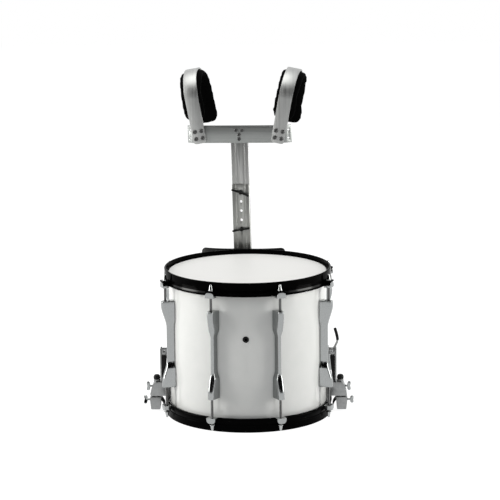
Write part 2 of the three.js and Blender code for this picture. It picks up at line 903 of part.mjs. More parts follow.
// The socket stands on a plate on the back of the shell, between two lugs.
function makeCarrierSocket() {
  const middle = (socketBottom + socketTop) / 2;
  const halfHeight = socketPlateHeight / 2;
  const half = socketPlateWidth / 2;
  const seat = Math.sqrt((shellRadius + seatGap) ** 2 - hookX ** 2);
  const plate = slabThroughY(
    roundedPlate(half, middle - halfHeight, middle + halfHeight, socketPlateCorner),
    seat - socketPlateSkirt,
    seat + socketPlateThickness,
  ).translate(hookX, 0, 0);
  const neck = block(
    hookX - socketNeck / 2,
    hookX + socketNeck / 2,
    seat,
    hookY,
    socketBottom,
    socketTop,
  );
  const tube = rod(socketRadius, socketBottom, socketTop, tubeSides).translate(hookX, hookY, 0);
  const bore = rod(spigotRadius + spigotClearance, socketBottom - overrun, socketTop + overrun, tubeSides);
  const shell = rod(shellRadius + seatGap, shellBottom, shellTop, 2 * roundSegments);
  return cut(join(plate, neck, tube), bore.translate(hookX, hookY, 0), shell);
}

// Everything on the carrier is drawn square, with the hook's axis at zero, and then turned.
function makeCarrierHook() {
  const collarBottom = socketTop + seatGap;
  const collarTop = collarBottom + collarThickness;
  return revolve(
    [
      [0, spigotBottom],
      [spigotRadius - lugEase, spigotBottom],
      [spigotRadius, spigotBottom + lugEase],
      [spigotRadius, collarBottom],
      [collarRadius, collarBottom],
      [collarRadius, collarTop],
      [spigotRadius, collarTop],
      [spigotRadius, knucklePinTop],
      [0, knucklePinTop],
    ],
    tubeSides,
  );
}

function makeBellyPlate() {
  const front = carrierSetback - seatGap - plateThickness;
  const back = front + plateThickness;
  const profile = new THREE.Shape();
  profile.moveTo(-plateFlatHalf, front);
  profile.lineTo(plateFlatHalf, front);
  profile.quadraticCurveTo(
    (plateFlatHalf + plateHalfWidth) / 2, front,
    plateHalfWidth, front + plateSweep,
  );
  profile.lineTo(plateHalfWidth, back + plateSweep);
  profile.quadraticCurveTo((plateFlatHalf + plateHalfWidth) / 2, back, plateFlatHalf, back);
  profile.lineTo(-plateFlatHalf, back);
  profile.quadraticCurveTo(
    -(plateFlatHalf + plateHalfWidth) / 2, back,
    -plateHalfWidth, back + plateSweep,
  );
  profile.lineTo(-plateHalfWidth, front + plateSweep);
  profile.quadraticCurveTo(
    -(plateFlatHalf + plateHalfWidth) / 2, front,
    -plateFlatHalf, front,
  );
  const sheet = slab(profile, plateTop - plateBottom).translate(0, 0, plateBottom);

  const outline = new THREE.Shape();
  outline.moveTo(-plateHalfWidth + plateCorner, plateBottom);
  outline.lineTo(plateHalfWidth - plateCorner, plateBottom);
  outline.quadraticCurveTo(plateHalfWidth, plateBottom, plateHalfWidth, plateBottom + plateCorner);
  outline.lineTo(plateHalfWidth, plateTop - plateTopCorner);
  outline.lineTo(plateHalfWidth - plateTopCorner, plateTop);
  outline.lineTo(-plateHalfWidth + plateTopCorner, plateTop);
  outline.lineTo(-plateHalfWidth, plateTop - plateTopCorner);
  outline.lineTo(-plateHalfWidth, plateBottom + plateCorner);
  outline.quadraticCurveTo(
    -plateHalfWidth, plateBottom,
    -plateHalfWidth + plateCorner, plateBottom,
  );
  const window = slabThroughY(outline, front - overrun, back + plateSweep + overrun);
  const trimmed = overlapOf(sheet, window);

  const knuckleBottom = socketTop + collarThickness + 2 * seatGap;
  const knuckle = rod(knuckleRadius, knuckleBottom, knucklePinTop, tubeSides);
  const neck = block(-knuckleNeck / 2, knuckleNeck / 2, 0, back, knuckleBottom, knucklePinTop);
  const bore = rod(
    spigotRadius + knuckleClearance,
    knuckleBottom - overrun,
    knucklePinTop + overrun,
    tubeSides,
  );
  return cut(join(trimmed, knuckle, neck), bore);
}

// Flat bar of the post, drawn from above, with two shallow grooves in its front face
function postSection(front) {
  const half = postWidth / 2;
  const back = front + postThickness;
  const groove = postWidth * postGrooveAtShare;
  const ease = postEase;
  const outline = [[-half + ease, front]];
  for (const centre of [-groove, groove]) {
    outline.push([centre - ease, front], [centre, front + postGroove], [centre + ease, front]);
  }
  outline.push([half - ease, front], [half, front + ease], [half, back - ease]);
  outline.push([half - ease, back], [-half + ease, back], [-half, back - ease]);
  outline.push([-half, front + ease]);
  return shapeOf(outline);
}

function boltHoleHeight(index) {
  return lowerBoltHeight + index * boltHolePitch;
}

function makeLowerPost() {
  const front = carrierSetback;
  const bar = slab(postSection(front), lowerPostTop - lowerPostBottom);
  bar.translate(0, 0, lowerPostBottom);
  const holes = [];
  for (let i = 0; i < boltHoleCount; i++) {
    const hole = rod(boltRadius + boltClearance, -overrun, postThickness + overrun, tubeSides);
    holes.push(hole.rotateX(-Math.PI / 2).translate(0, front, boltHoleHeight(i)));
  }
  return cut(bar, ...holes);
}

function makeUpperPost() {
  const front = carrierSetback + postThickness + seatGap;
  const reach = boltRadius + boltClearance;
  const slotBottom = lowerBoltHeight - postTravel - reach;
  const slotTop = boltHoleHeight(boltHoleCount - 1) + reach;
  const bottom = slotBottom - postEndMargin;
  const bar = slab(postSection(front), upperPostTop - bottom).translate(0, 0, bottom);
  const slot = slabThroughY(
    roundedPlate(reach, slotBottom, slotTop, reach),
    front - overrun,
    front + postThickness + overrun,
  );
  return cut(bar, slot);
}

// A black wing bolt through the post, drawn about the Z axis and laid along Y
function makePostBolt() {
  const tail = 2 * postThickness + seatGap + boltTail;
  const stem = revolve(
    [
      [0, -tail],
      [boltRadius, -tail],
      [boltRadius, seatGap],
      [boltHubRadius, seatGap],
      [boltHubRadius, boltHubHeight],
      [boltRadius, boltNoseHeight],
      [0, boltNoseHeight],
    ],
    tubeSides,
  );
  const half = boltWingSpan / 2;
  const wings = slabThroughY(
    shapeOf([
      [-boltHubRadius, seatGap],
      [boltHubRadius, seatGap],
      [half - boltWingDepth / 2, boltWingDepth / 2],
      [half, boltWingDepth],
      [half - boltWingDepth / 2, boltWingTop],
      [boltHubRadius, boltWingRoot],
      [-boltHubRadius, boltWingRoot],
      [boltWingDepth / 2 - half, boltWingTop],
      [-half, boltWingDepth],
      [boltWingDepth / 2 - half, boltWingDepth / 2],
    ]),
    -boltWingThickness / 2,
    boltWingThickness / 2,
  );
  return join(stem, wings).rotateX(Math.PI / 2);
}

// The crossbar is flat bar whose ends are bent back towards the player.
function makeCrossbar() {
  const front = carrierSetback;
  const straight = crossbarLength / 2 - crossbarEndBend;
  const bend = THREE.MathUtils.degToRad(crossbarEndAngle);
  const outline = (sideways) => [
    [sideways * straight, front],
    [
      sideways * (straight + crossbarEndBend),
      front + crossbarEndBend * Math.tan(bend),
    ],
    [
      sideways * (straight + crossbarEndBend - barThickness * Math.sin(bend)),
      front + crossbarEndBend * Math.tan(bend) + barThickness * Math.cos(bend),
    ],
    [sideways * (straight - barThickness * Math.tan(bend / 2)), front + barThickness],
  ];
  const shape = shapeOf([...outline(1), ...outline(-1).reverse()]);
  const bar = slab(shape, crossbarHeight).translate(0, 0, crossbarBottom);
  const holes = [];
  for (const sideways of [-1, 1]) {
    for (const vertical of [-1, 1]) {
      holes.push(
        rod(barHoleRadius, -overrun, barThickness + overrun)
          .rotateX(-Math.PI / 2)
          .translate(
            (sideways * (bandSpacing + bandWidth)) / 2 + sideways * barHoleRadius * 2,
            front,
            crossbarBottom + crossbarHeight / 2 + (vertical * barHolePitch) / 2,
          ),
      );
    }
  }
  return cut(bar, ...holes);
}

// Height and depth of the line that a shoulder band follows, drawn from its foot
function bandLine(offset) {
  const path = new THREE.Path();
  const rise = bandSpringing;
  const radiusY = bandArchDepth / 2;
  path.moveTo(offset, crossbarBottom - bandFootDrop);
  path.lineTo(offset, rise);
  path.absellipse(radiusY, rise, radiusY - offset, bandArchRise - offset, Math.PI, 0, true, 0);
  path.lineTo(bandArchDepth - offset, bandRearEnd);
  return path;
}

function makeShoulderBand() {
  const outer = bandLine(0).getPoints(bandSteps);
  const inner = bandLine(bandThickness).getPoints(bandSteps);
  const profile = new THREE.Shape([...outer, ...inner.reverse()]);
  const strip = slab(profile, bandWidth, 0);
  const bent = strip
    .rotateX(Math.PI / 2)
    .rotateZ(Math.PI / 2)
    .translate(-bandWidth / 2, 0, 0);
  const outline = roundedPlate(
    bandWidth / 2,
    crossbarBottom - bandFootDrop,
    bandSpringing + bandArchRise + overrun,
    bandFootCorner,
  );
  const top = slabThroughY(outline, -overrun, bandArchDepth / 2);
  const rest = block(
    -bandWidth,
    bandWidth,
    bandArchDepth / 2 - overrun,
    bandArchDepth + overrun,
    crossbarBottom,
    bandSpringing + bandArchRise + overrun,
  );
  const crown = block(
    -bandWidth,
    bandWidth,
    -overrun,
    bandArchDepth + overrun,
    bandSpringing,
    bandSpringing + bandArchRise + overrun,
  );
  return overlapOf(bent, join(top, rest, crown));
}

// Powers below one make a cushion's section squarer than an ellipse.
function squared(value, power) {
  return Math.sign(value) * Math.abs(value) ** power;
}

function fromEndShare(endShare, fullness) {
  return endShare + (1 - endShare) * fullness;
}

// A shoulder pad is a crowned cushion that lies against the inner face of its band.
function makeShoulderPad() {
  const inset = bandThickness + seatGap + padThickness / 2;
  const radiusY = bandArchDepth / 2 - inset;
  const radiusZ = bandArchRise - inset;
  const frontLength = bandSpringing - padFrontEnd;
  const rearLength = bandSpringing - padRearEnd;
  const archLength = (Math.PI * (radiusY + radiusZ)) / 2;
  const whole = frontLength + archLength + rearLength;
  const rings = [];
  for (let i = 0; i <= padSteps; i++) {
    const share = (1 - Math.cos((i / padSteps) * Math.PI)) / 2;
    const run = share * whole;
    let y;
    let z;
    let angle;
    if (run < frontLength) {
      [y, z, angle] = [inset, padFrontEnd + run, Math.PI];
    } else if (run < frontLength + archLength) {
      angle = Math.PI * (1 - (run - frontLength) / archLength);
      y = bandArchDepth / 2 + radiusY * Math.cos(angle);
      z = bandSpringing + radiusZ * Math.sin(angle);
    } else {
      angle = 0;
      [y, z] = [bandArchDepth - inset, bandSpringing - (run - frontLength - archLength)];
    }
    const fromEnd = Math.min(run, whole - run);
    const rounding = Math.min(1, fromEnd / (padWidth / 2));
    const fullness = Math.sqrt(1 - (1 - rounding) ** 2);
    const filled = Math.min(1, padThickening * fullness);
    const width = (padWidth / 2 + padRearWidening * share) * fromEndShare(padEndShares[0], fullness);
    const thickness = (padThickness / 2) * fromEndShare(padEndShares[1], filled);
    const ring = [];
    for (let k = 0; k < padSides; k++) {
      const turn = (-k / padSides) * 2 * Math.PI;
      const across = squared(Math.cos(turn), padSideSquareness) * width;
      const out = squared(Math.sin(turn), padFaceSquareness) * thickness;
      ring.push(new THREE.Vector3(across, y + out * Math.cos(angle), z + out * Math.sin(angle)));
    }
    rings.push(ring);
  }
  return loft(rings);
}

// The belly pad is a wide cushion behind the post, with rounded ends and a crowned face.
function makeBellyPad() {
  const front = carrierSetback + postThickness + seatGap;
  const middle = front + bellyPadThickness / 2;
  const centre = (bellyPadTop + bellyPadBottom) / 2;
  const [late, round] = bellyPadEndPowers;
  const fullHalfHeight = (bellyPadTop - bellyPadBottom) / 2;
  const rings = [];
  for (let i = 0; i <= bellyPadSteps; i++) {
    const share = -Math.cos((i / bellyPadSteps) * Math.PI);
    const fullness = (1 - Math.abs(share) ** late) ** round;
    const halfHeight = fullHalfHeight * fromEndShare(bellyPadEndShares[0], fullness);
    const halfThickness = (bellyPadThickness / 2) * fromEndShare(bellyPadEndShares[1], fullness);
    const sweep = plateSweep * share ** 2 * bellyPadSweepShare;
    const ring = [];
    for (let k = 0; k < bellyPadSides; k++) {
      const turn = (k / bellyPadSides) * 2 * Math.PI;
      const up = squared(Math.sin(turn), padSideSquareness) * halfHeight;
      const out = squared(Math.cos(turn), padSideSquareness) * halfThickness;
      ring.push(new THREE.Vector3(bellyPadHalfWidth * share, middle + sweep + out, centre + up));
    }
    rings.push(ring);
  }
  return loft(rings);
}

const drum = new THREE.Group();
drum.add(piece("shell", makeShell(), whiteLacquer));
drum.add(piece("vent_grommet", makeVentGrommet(), blackPlastic));

const batterEnd = new THREE.Group();
batterEnd.position.z = drumHeight;
batterEnd.add(piece("batter_head", makeHead(), headFilm));
batterEnd.add(piece("batter_hoop", makeHoop(), blackPaint));

// The snare-side end is the same end turned over.
const snareEnd = new THREE.Group();
snareEnd.rotation.x = Math.PI;
snareEnd.add(piece("snare_head", makeHead(), headFilm));
snareEnd.add(piece("snare_hoop", makeSnareHoop(), blackPaint));

for (let i = 0; i < lugCount; i++) {
  const number = i + 1;
  drum.add(roundTheDrum(piece("lug_" + number, makeLug(), castMetal), lugAngle(i)));
  for (const [end, name, turn] of [
    [batterEnd, "batter_rod_", 1],
    [snareEnd, "snare_rod_", -1],
  ]) {
    const tensionRod = piece(name + number, makeTensionRod(), polishedMetal);
    const angle = turn * lugAngle(i);
    tensionRod.position.set(rodCircle * Math.cos(angle), rodCircle * Math.sin(angle), 0);
    end.add(tensionRod);
  }
}
drum.add(batterEnd, snareEnd);
drum.add(piece("snares", makeSnares(), steelWire));

for (const [side, angle] of [["right", 0], ["left", Math.PI]]) {
  const strainer = new THREE.Group();
  strainer.rotation.z = angle;
  strainer.add(piece(side + "_strainer", makeStrainer(), castMetal));
  strainer.add(piece(side + "_strainer_cover", makeStrainerCover(), blackPlastic));
  strainer.add(piece(side + "_carriage", makeCarriage(), castMetal));
  strainer.add(piece(side + "_height_knob", makeKnob(), blackPlastic));
  const lockScrew = makeWingScrew(upperWingStem, blockBulge + seatGap);
  const lock = piece(side + "_lock_screw", lockScrew, polishedMetal);
  lock.position.set(blockReach, 0, upperWingHeight);
  const clampScrew = makeWingScrew(lowerWingStem, lowerWingNeck);
  const clamp = piece(side + "_clamp_screw", clampScrew, polishedMetal);
  clamp.position.set(carriageOuter, 0, lowerWingHeight);
  clamp.rotation.x = THREE.MathUtils.degToRad(lowerWingTurn);
  strainer.add(lock, clamp);
  if (side === "right") {
    strainer.add(piece("throw_off_lever", makeLever(), polishedMetal));
    strainer.add(piece("lever_pin", makeLeverPin(), polishedMetal));
  }
  drum.add(strainer);
}
drum.add(piece("carrier_socket", makeCarrierSocket(), castMetal));

const carrier = new THREE.Group();
carrier.position.set(hookX, hookY, 0);
carrier.rotation.z = THREE.MathUtils.degToRad(carrierTurn);

// The lean turns the carrier about the middle of the socket.
const leaning = new THREE.Group();
const leanHeight = (socketBottom + socketTop) / 2;
leaning.position.z = leanHeight;
leaning.rotation.y = THREE.MathUtils.degToRad(carrierLean);
const frameOfPost = new THREE.Group();
frameOfPost.position.z = -leanHeight;
leaning.add(frameOfPost);
carrier.add(leaning);

frameOfPost.add(piece("carrier_hook", makeCarrierHook(), polishedMetal));
frameOfPost.add(piece("belly_plate", makeBellyPlate(), blackPaint));
frameOfPost.add(piece("belly_pad", makeBellyPad(), blackFoam));
frameOfPost.add(piece("lower_post", makeLowerPost(), brushedAluminium));
frameOfPost.add(piece("upper_post", makeUpperPost(), brushedAluminium));
frameOfPost.add(piece("crossbar", makeCrossbar(), brushedAluminium));
for (const [name, index, tilt] of [
  ["lower_post_bolt", 0, boltWingTilts[0]],
  ["upper_post_bolt", boltHoleCount - 1, boltWingTilts[1]],
]) {
  const bolt = piece(name, makePostBolt(), blackPlastic);
  bolt.position.set(0, carrierSetback, boltHoleHeight(index));
  bolt.rotation.y = THREE.MathUtils.degToRad(-tilt);
  frameOfPost.add(bolt);
}
for (const [side, sideways] of [["left", -1], ["right", 1]]) {
  const shoulder = new THREE.Group();
  const pivotZ = crossbarBottom + crossbarHeight / 2;
  const foot = carrierSetback - seatGap - bandThickness;
  shoulder.position.set((sideways * bandSpacing) / 2, foot, pivotZ);
  shoulder.rotation.y = THREE.MathUtils.degToRad(sideways * bandSplay);
  const band = piece(side + "_shoulder_band", makeShoulderBand(), brushedAluminium);
  const pad = piece(side + "_shoulder_pad", makeShoulderPad(), blackFoam);
  band.position.z = -pivotZ;
  pad.position.set(sideways * padOffset, 0, -pivotZ);
  shoulder.add(band, pad);
  frameOfPost.add(shoulder);
}

// The origin is the middle of the footprint, on the surface that the drum stands on.
const assembly = new THREE.Group();
assembly.add(drum, carrier);
assembly.updateMatrixWorld(true);
const bounds = new THREE.Box3().setFromObject(assembly, true);
const centre = bounds.getCenter(new THREE.Vector3());
drum.position.set(-centre.x, -centre.y, -bounds.min.z);
carrier.position.x -= centre.x;
carrier.position.y -= centre.y;
carrier.position.z -= bounds.min.z;

const snareDrum = new THREE.Group();
snareDrum.add(drum, carrier);

export default snareDrum;
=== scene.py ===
from math import cos, pi, radians, sin, tan

import bpy
from mathutils import Matrix, Vector


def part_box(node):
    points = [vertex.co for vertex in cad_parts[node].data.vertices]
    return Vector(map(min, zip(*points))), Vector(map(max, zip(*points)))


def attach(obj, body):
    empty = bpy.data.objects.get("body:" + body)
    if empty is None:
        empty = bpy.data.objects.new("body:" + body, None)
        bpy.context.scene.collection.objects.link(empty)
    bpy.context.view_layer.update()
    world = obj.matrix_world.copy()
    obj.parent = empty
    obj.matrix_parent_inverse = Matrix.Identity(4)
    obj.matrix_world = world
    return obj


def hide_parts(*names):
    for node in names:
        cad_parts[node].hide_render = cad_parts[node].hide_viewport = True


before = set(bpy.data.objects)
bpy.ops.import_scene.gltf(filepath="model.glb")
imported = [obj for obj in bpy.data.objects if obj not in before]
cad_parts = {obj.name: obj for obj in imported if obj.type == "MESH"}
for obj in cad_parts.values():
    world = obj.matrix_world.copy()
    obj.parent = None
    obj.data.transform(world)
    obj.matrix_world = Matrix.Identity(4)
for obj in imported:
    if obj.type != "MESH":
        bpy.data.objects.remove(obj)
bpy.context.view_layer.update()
bpy.ops.object.select_all(action="DESELECT")

# Camera
# The photograph is taken from in front of the drum, a little above its head,
# with a long lens, so the two hoops are only a little out of parallel.
camera_place = (0.1358, -4.7398, 1.315)
camera_turn = radians(1.6)
camera_pitch = radians(90 - 11.45)
camera_roll = radians(-0.5)
bpy.ops.object.camera_add(location=camera_place)
camera = bpy.context.object
camera.name = "camera"
camera.data.sensor_width = 36
camera.data.lens = 151.7
camera.data.clip_end = 40
camera.matrix_world = (
    Matrix.Translation(camera_place)
    @ Matrix.Rotation(camera_turn, 4, "Z")
    @ Matrix.Rotation(camera_pitch, 4, "X")
    @ Matrix.Rotation(camera_roll, 4, "Z")
)
bpy.context.scene.camera = camera
bpy.context.scene.view_settings.view_transform = "Standard"

# Studio
# A white room: a pale floor, two tall soft boxes at the sides, one overhead
# and a weak even light from all round. The room looks white to the camera,
# and three dark cards high in front are seen by reflections alone.
room_fill = 0.29
world = bpy.data.worlds.new("room")
bpy.context.scene.world = world
world.use_nodes = True


def seen_rays(tree):
    """A value of 1 for the rays that look at the room, and 0 for its light."""
    path = tree.nodes.new("ShaderNodeLightPath")
    total = path.outputs["Is Camera Ray"]
    for kind in ("Is Glossy Ray", "Is Transmission Ray"):
        either = tree.nodes.new("ShaderNodeMath")
        either.operation = "MAXIMUM"
        tree.links.new(total, either.inputs[0])
        tree.links.new(path.outputs[kind], either.inputs[1])
        total = either.outputs[0]
    return total


room = world.node_tree
strength = room.nodes.new("ShaderNodeMapRange")
strength.inputs["To Min"].default_value = room_fill
strength.inputs["To Max"].default_value = 1
sky_rays = seen_rays(room)
room.links.new(sky_rays, strength.inputs["Value"])
sky = room.nodes.new("ShaderNodeMix")
sky.data_type = "RGBA"
sky.inputs["A"].default_value = (0.94, 0.975, 1, 1)
sky.inputs["B"].default_value = (1, 1, 1, 1)
room.links.new(sky_rays, sky.inputs["Factor"])
room.links.new(sky.outputs["Result"], room.nodes["Background"].inputs["Color"])
room.links.new(strength.outputs["Result"], room.nodes["Background"].inputs["Strength"])

floor_size = 16
floor_lit_tone = 0.55
floor_seen_tone = 0.3
floor_seen_glow = 0.92
floor_white = bpy.data.materials.new("floor_white")
floor_white.use_nodes = True
paper = floor_white.node_tree
paper_shader = paper.nodes["Principled BSDF"]
paper_shader.inputs["Roughness"].default_value = 1
paper_shader.inputs["Specular IOR Level"].default_value = 0
paper_tone = paper.nodes.new("ShaderNodeMix")
paper_tone.data_type = "RGBA"
paper_tone.inputs["A"].default_value = (floor_lit_tone, floor_lit_tone, floor_lit_tone, 1)
paper_tone.inputs["B"].default_value = (floor_seen_tone, floor_seen_tone, floor_seen_tone, 1)
paper.links.new(seen_rays(paper), paper_tone.inputs["Factor"])
paper.links.new(paper_tone.outputs["Result"], paper_shader.inputs["Base Color"])
paper_glow = paper.nodes.new("ShaderNodeMix")
paper_glow.data_type = "FLOAT"
paper_glow.inputs["A"].default_value = 0
paper_glow.inputs["B"].default_value = floor_seen_glow
paper.links.new(seen_rays(paper), paper_glow.inputs["Factor"])
paper_shader.inputs["Emission Color"].default_value = (1, 1, 1, 1)
paper.links.new(paper_glow.outputs["Result"], paper_shader.inputs["Emission Strength"])
bpy.ops.mesh.primitive_plane_add(size=floor_size, location=(0, 0, -0.0005))
floor = bpy.context.object
floor.name = "floor"
floor.data.materials.append(floor_white)

studio_aim = Vector((0, 0, 0.3))


def out_from_drum(azimuth, elevation):
    """The direction from the drum to a lamp or a card; azimuth 0 is in front."""
    bearing = radians(azimuth) - pi / 2
    rise = radians(elevation)
    return Vector((cos(bearing) * cos(rise), sin(bearing) * cos(rise), sin(rise)))


def soft_box(name, azimuth, elevation, level, width, height):
    """A soft box that looks at the drum; level is what it adds to a white card."""
    distance = 3.0
    away = out_from_drum(azimuth, elevation)
    bpy.ops.object.light_add(type="AREA", location=studio_aim + away * distance)
    lamp = bpy.context.object
    lamp.name = name
    lamp.data.shape = "RECTANGLE"
    lamp.data.size = width
    lamp.data.size_y = height
    lamp.data.energy = level * pi * pi * distance**2
    lamp.data.color = (1, 0.998, 0.965)
    lamp.rotation_euler = away.to_track_quat("Z", "Y").to_euler()


soft_box("soft_box_left", -82, 14, 0.72, 1.3, 1.8)
soft_box("soft_box_right", 82, 14, 0.64, 1.3, 1.8)
soft_box("soft_box_above", -90, 77, 0.41, 2.2, 2.2)

card_rise = 28
card_distance = 4.2
card_size = (2.9, 4.4, 1)
card_black = bpy.data.materials.new("card_black")
card_black.use_nodes = True
card_shader = card_black.node_tree.nodes["Principled BSDF"]
card_shader.inputs["Base Color"].default_value = (0.01, 0.01, 0.01, 1)
card_shader.inputs["Specular IOR Level"].default_value = 0
for side, azimuth in (("left", -39), ("middle", 0), ("right", 39)):
    away = out_from_drum(azimuth, card_rise)
    bpy.ops.mesh.primitive_plane_add(
        size=1,
        location=away * card_distance + studio_aim,
        rotation=away.to_track_quat("Z", "Y").to_euler(),
    )
    card = bpy.context.object
    card.name = "dark_card_" + side
    card.scale = card_size
    card.data.materials.append(card_black)
    card.visible_camera = False
    card.visible_diffuse = False
    card.visible_shadow = False
    card.visible_transmission = False

# Shell
# A plywood tube in white gloss lacquer, 14 inches across. Both ends are cut
# to a rounded edge that carries the head, and a vent is bored in its front.
mm = 0.001
shell_radius = 177.8
shell_inner = 171.8
shell_foot = 10.1
shell_top = 326.9
vent_height = 209
vent_radius = 5
round_steps = 192
low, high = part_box("shell")
axis = Vector(((low[0] + high[0]) / 2, (low[1] + high[1]) / 2, 0))
drum_place = Matrix.Translation(axis)


def draw_line(name, points, closed=False):
    """Adds one point and extrudes it along a line; stays in edit mode."""
    bpy.ops.object.select_all(action="DESELECT")
    bpy.ops.mesh.primitive_plane_add(size=mm, location=(0, 0, 0))
    drawn = bpy.context.object
    drawn.name = name
    drawn.data.name = name
    bpy.ops.object.mode_set(mode="EDIT")
    bpy.ops.mesh.select_all(action="SELECT")
    bpy.ops.mesh.merge(type="CENTER")
    path = [Vector(point) * mm for point in points]
    if closed:
        path.append(path[0])
    bpy.ops.transform.translate(value=path[0])
    for here, there in zip(path, path[1:]):
        step = {"value": there - here}
        bpy.ops.mesh.extrude_region_move(TRANSFORM_OT_translate=step)
    bpy.ops.mesh.select_all(action="SELECT")
    bpy.ops.mesh.remove_doubles(threshold=1e-6)
    bpy.ops.mesh.select_all(action="SELECT")
    return drawn


def object_mode():
    if bpy.context.object and bpy.context.object.mode != "OBJECT":
        bpy.ops.object.mode_set(mode="OBJECT")


def pick(*pieces):
    """Selects some pieces and nothing else; the first is the active one."""
    object_mode()
    bpy.ops.object.select_all(action="DESELECT")
    for piece in pieces:
        piece.select_set(True)
    bpy.context.view_layer.objects.active = pieces[0]


def settle(piece):
    """Puts a piece's own place, turn and size into its mesh."""
    pick(piece)
    bpy.ops.object.transform_apply(location=True, rotation=True, scale=True)
    return piece


def place(piece, matrix):
    """Moves a piece into its place and leaves its object at the origin."""
    pick(piece)
    piece.matrix_world = matrix @ piece.matrix_world
    return settle(piece)


def smooth(piece, angle=32):
    """Shades a piece smooth, apart from the edges sharper than an angle."""
    pick(piece)
    bpy.ops.object.shade_smooth_by_angle(angle=radians(angle))


def apply_modifiers(piece):
    pick(piece)
    for modifier in list(piece.modifiers):
        bpy.ops.object.modifier_apply(modifier=modifier.name)


def cut(piece, *cutters):
    """Cuts some shapes out of a piece and removes them."""
    for cutter in cutters:
        modifier = piece.modifiers.new("cut", "BOOLEAN")
        modifier.operation = "DIFFERENCE"
        modifier.solver = "EXACT"
        modifier.object = cutter
    apply_modifiers(piece)
    for cutter in cutters:
        bpy.data.objects.remove(cutter)


def turned(name, outline, steps=96, closed=True):
    """Spins an outline of (radius, height) points about the Z axis."""
    piece = draw_line(name, [(radius, 0, height) for radius, height in outline], closed)
    bpy.ops.mesh.spin(steps=steps, angle=2 * pi, center=(0, 0, 0), axis=(0, 0, 1))
    bpy.ops.mesh.select_all(action="SELECT")
    bpy.ops.mesh.remove_doubles(threshold=1e-6)
    bpy.ops.mesh.normals_make_consistent(inside=False)
    object_mode()
    return piece


def finish(name, colour, metallic, roughness, coat=0.0, specular=0.5):
    """A plain finish, which grain and ridges then vary."""
    material = bpy.data.materials.new(name)
    material.use_nodes = True
    shader = material.node_tree.nodes["Principled BSDF"]
    shader.inputs["Base Color"].default_value = (*colour, 1)
    shader.inputs["Metallic"].default_value = metallic
    shader.inputs["Roughness"].default_value = roughness
    shader.inputs["Coat Weight"].default_value = coat
    shader.inputs["Specular IOR Level"].default_value = specular
    return material


def grain(material, scale, stretch=(1, 1, 1), tones=None, gloss=None, bump=0.0, depth=0.1):
    """Lets a fine noise vary a finish: its colour, its gloss and its surface."""
    noise_low, noise_high = 0.3, 0.7
    tree = material.node_tree
    shader = tree.nodes["Principled BSDF"]
    place_of = tree.nodes.new("ShaderNodeTexCoord")
    mapping = tree.nodes.new("ShaderNodeMapping")
    mapping.inputs["Scale"].default_value = stretch
    noise = tree.nodes.new("ShaderNodeTexNoise")
    noise.inputs["Scale"].default_value = scale
    noise.inputs["Detail"].default_value = 4
    tree.links.new(place_of.outputs["Object"], mapping.inputs["Vector"])
    tree.links.new(mapping.outputs["Vector"], noise.inputs["Vector"])
    if tones:
        ramp = tree.nodes.new("ShaderNodeValToRGB")
        for element, position, tone in zip(ramp.color_ramp.elements, (noise_low, noise_high), tones):
            element.position = position
            element.color = (*tone, 1)
        tree.links.new(noise.outputs["Fac"], ramp.inputs["Fac"])
        tree.links.new(ramp.outputs["Color"], shader.inputs["Base Color"])
    if gloss:
        spread = tree.nodes.new("ShaderNodeMapRange")
        spread.inputs["From Min"].default_value = noise_low
        spread.inputs["From Max"].default_value = noise_high
        spread.inputs["To Min"].default_value = gloss[0]
        spread.inputs["To Max"].default_value = gloss[1]
        tree.links.new(noise.outputs["Fac"], spread.inputs["Value"])
        tree.links.new(spread.outputs["Result"], shader.inputs["Roughness"])
    if bump:
        bumps = tree.nodes.new("ShaderNodeBump")
        bumps.inputs["Strength"].default_value = bump
        bumps.inputs["Distance"].default_value = depth * mm
        tree.links.new(noise.outputs["Fac"], bumps.inputs["Height"])
        tree.links.new(bumps.outputs["Normal"], shader.inputs["Normal"])


def dress(piece, material, body, slot, *nodes):
    """Gives a piece its finish, its body and the CAD nodes that it stands for."""
    piece.data.materials.clear()
    piece.data.materials.append(material)
    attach(piece, body)
    if nodes:
        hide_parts(*nodes)


white_lacquer = finish("white_lacquer", (0.88, 0.88, 0.86), 0, 0.16, coat=0.3)
grain(
    white_lacquer,
    scale=38,
    tones=((0.865, 0.868, 0.85), (0.89, 0.888, 0.872)),
    gloss=(0.13, 0.19),
    bump=0.06,
    depth=0.06,
)
shell_outline = [
    (shell_inner, shell_foot + 4.6),
    (175.5, shell_foot),
    (176.6, shell_foot + 0.2),
    (177.5, shell_foot + 1.0),
    (shell_radius, shell_foot + 2.2),
    (shell_radius, shell_top - 2.2),
    (177.5, shell_top - 1.0),
    (176.6, shell_top - 0.2),
    (175.5, shell_top),
    (shell_inner, shell_top - 4.6),
]
shell = turned("lacquered_shell", shell_outline, round_steps)
bpy.ops.mesh.primitive_cylinder_add(
    vertices=48,
    radius=vent_radius * mm,
    depth=20 * mm,
    location=(0, -175 * mm, vent_height * mm),
    rotation=(pi / 2, 0, 0),
)
cut(shell, bpy.context.object)
place(shell, drum_place)
smooth(shell, 30)
dress(shell, white_lacquer, "drum", "shell_white", "shell")

# Vent grommet
# A black plastic sleeve with a rounded flange, pressed into the vent of the
# shell from outside.


def eased(points, radius, steps=3, closed=True):
    """Rounds the corners of a flat outline."""
    rounded = []
    count = len(points)
    for index, point in enumerate(points):
        if not closed and index in (0, count - 1):
            rounded.append(tuple(point))
            continue
        here = Vector(point)
        before = Vector(points[index - 1]) - here
        after = Vector(points[(index + 1) % count]) - here
        reach = min(radius, before.length * 0.45, after.length * 0.45)
        start = here + before.normalized() * reach
        end = here + after.normalized() * reach
        for step in range(steps + 1):
            share = step / steps
            near = start.lerp(here, share)
            far = here.lerp(end, share)
            rounded.append(tuple(near.lerp(far, share)))
    return rounded


